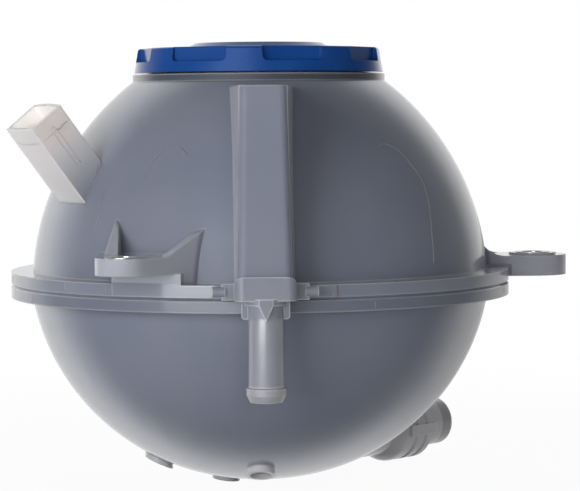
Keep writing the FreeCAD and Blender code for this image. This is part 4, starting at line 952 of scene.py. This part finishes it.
def addFloor():
    size = stageLook["floorSize"]
    level = cadLow.z - stageLook["floorGap"]
    corners = [
        (axisX + x * size, axisY + y * size, level)
        for x, y in ((-1, -1), (1, -1), (1, 1), (-1, 1))
    ]
    mesh = bpy.data.meshes.new("floor")
    mesh.from_pydata(corners, [], [(0, 1, 2, 3)])
    floor = bpy.data.objects.new("floor", mesh)
    bpy.context.scene.collection.objects.link(floor)
    material = bpy.data.materials.new("paleFloor")
    material.use_nodes = True
    tree = material.node_tree
    tree.nodes.clear()
    cloth = addNode(tree, "ShaderNodeBsdfDiffuse", 0, 150)
    cloth.inputs["Color"].default_value = (*stageLook["floor"], 1)
    white = addNode(tree, "ShaderNodeEmission", 0, -100)
    seen = addNode(tree, "ShaderNodeLightPath", -400, 300)
    where = addNode(tree, "ShaderNodeTexCoord", -900, 0)
    # its reflection is white, with painted shade: duller in front and on the right
    parts = addNode(tree, "ShaderNodeSeparateXYZ", -700, 500)
    tree.links.new(where.outputs["Object"], parts.inputs[0])
    near, far = stageLook["floorRight"]
    right = ramp(tree, parts.outputs["X"], axisX + far, axisX + near, -500, 500)
    near, far = stageLook["floorFront"]
    front = ramp(tree, parts.outputs["Y"], axisY + near, axisY + far, -500, 650)
    gloss = math2(tree, "MULTIPLY", right, front, -400, 500)
    brighter = stageLook["floorGloss"] - stageLook["floorShadedGloss"]
    gloss = math2(tree, "MULTIPLY", gloss, brighter, -350, 500)
    gloss = math2(tree, "ADD", gloss, stageLook["floorShadedGloss"], -250, 500)
    mirrored = math2(tree, "MULTIPLY", seen.outputs["Is Glossy Ray"], gloss, -150, 450)
    direct = math2(tree, "MAXIMUM", seen.outputs["Is Camera Ray"], mirrored, -100, 300)
    # the floor turns into the white backdrop away from the object, so no horizon shows
    offset = addNode(tree, "ShaderNodeVectorMath", -700, 0, operation="DISTANCE")
    offset.inputs[1].default_value = (axisX, axisY, level)
    tree.links.new(where.outputs["Object"], offset.inputs[0])
    away = ramp(tree, offset.outputs["Value"], *stageLook["floorFade"], -500, 0)
    away = math2(tree, "MULTIPLY", away, 1 - stageLook["floorWhite"], -300, 0)
    whiteness = math2(tree, "ADD", away, stageLook["floorWhite"], -150, 100)
    share = math2(tree, "MULTIPLY", direct, whiteness, 0, 350)
    blend = addNode(tree, "ShaderNodeMixShader", 250, 100)
    tree.links.new(share, blend.inputs[0])
    tree.links.new(cloth.outputs[0], blend.inputs[1])
    tree.links.new(white.outputs[0], blend.inputs[2])
    output = addNode(tree, "ShaderNodeOutputMaterial", 500, 100)
    tree.links.new(blend.outputs[0], output.inputs["Surface"])
    mesh.materials.append(material)


def addSurround():
    world = bpy.data.worlds.new("studio")
    bpy.context.scene.world = world
    world.use_nodes = True
    tree = world.node_tree
    tree.nodes.clear()
    light = addNode(tree, "ShaderNodeBackground", 250, 0)
    seen = addNode(tree, "ShaderNodeLightPath", -700, 300)
    # the room's own light is a little warm, and the backdrop is white
    matt = seen.outputs["Is Diffuse Ray"]
    colour = mixColour(tree, matt, (1, 1, 1), stageLook["warm"], 0, 300)
    tree.links.new(colour, light.inputs["Color"])
    where = addNode(tree, "ShaderNodeTexCoord", -900, -100)
    room = backdrop(tree, where.outputs["Generated"])
    gloss = math2(tree, "MULTIPLY", room, seen.outputs["Is Glossy Ray"], 0, -100)
    through = seen.outputs["Is Transmission Ray"]
    direct = math2(tree, "MAXIMUM", seen.outputs["Is Camera Ray"], through, -300, 200)
    level = math2(tree, "MAXIMUM", direct, stageLook["surround"], -150, 200)
    tree.links.new(math2(tree, "MAXIMUM", level, gloss, 100, 100), light.inputs["Strength"])
    output = addNode(tree, "ShaderNodeOutputWorld", 500, 0)
    tree.links.new(light.outputs[0], output.inputs["Surface"])


def addSoftbox(name, place, size, power, mirrored=True, lights=True):
    # mirrored: it shows in gloss. lights: it lights matt surfaces.
    lamp = bpy.data.lights.new(name, "AREA")
    lamp.shape = "RECTANGLE"
    lamp.size, lamp.size_y = size
    lamp.energy = power
    box = bpy.data.objects.new(name, lamp)
    bpy.context.scene.collection.objects.link(box)
    box.visible_glossy = mirrored
    box.visible_diffuse = lights
    box.location = inTank(*place)
    box.rotation_euler = (inTank(0, 0, 0) - box.location).to_track_quat("-Z", "Y").to_euler()


cameraLook = {
    "place": (-13, -745, 52.9), "pitch": -3.24, "yaw": -1.707, "roll": -0.4,
    "lens": 150.83, "sensor": 36.0, "nearest": 0.01,
}


def addCamera():
    look = cameraLook
    view = bpy.data.cameras.new("photoView")
    view.sensor_width = look["sensor"]
    view.lens = look["lens"]
    view.clip_start = look["nearest"]
    camera = bpy.data.objects.new("photoView", view)
    bpy.context.scene.collection.objects.link(camera)
    turn = Matrix.Rotation(math.radians(look["yaw"]), 4, "Z")
    tip = Matrix.Rotation(math.radians(90 + look["pitch"]), 4, "X")
    roll = Matrix.Rotation(math.radians(look["roll"]), 4, "Z")
    camera.matrix_world = Matrix.Translation(inTank(*look["place"])) @ turn @ tip @ roll
    bpy.context.scene.camera = camera


addFloor()
addSurround()
for name in ("key", "strip", "front", "back"):
    addSoftbox(name + "Box", **stageLook[name])
addCamera()
bpy.context.scene.view_settings.view_transform = "Standard"
print("stage set")
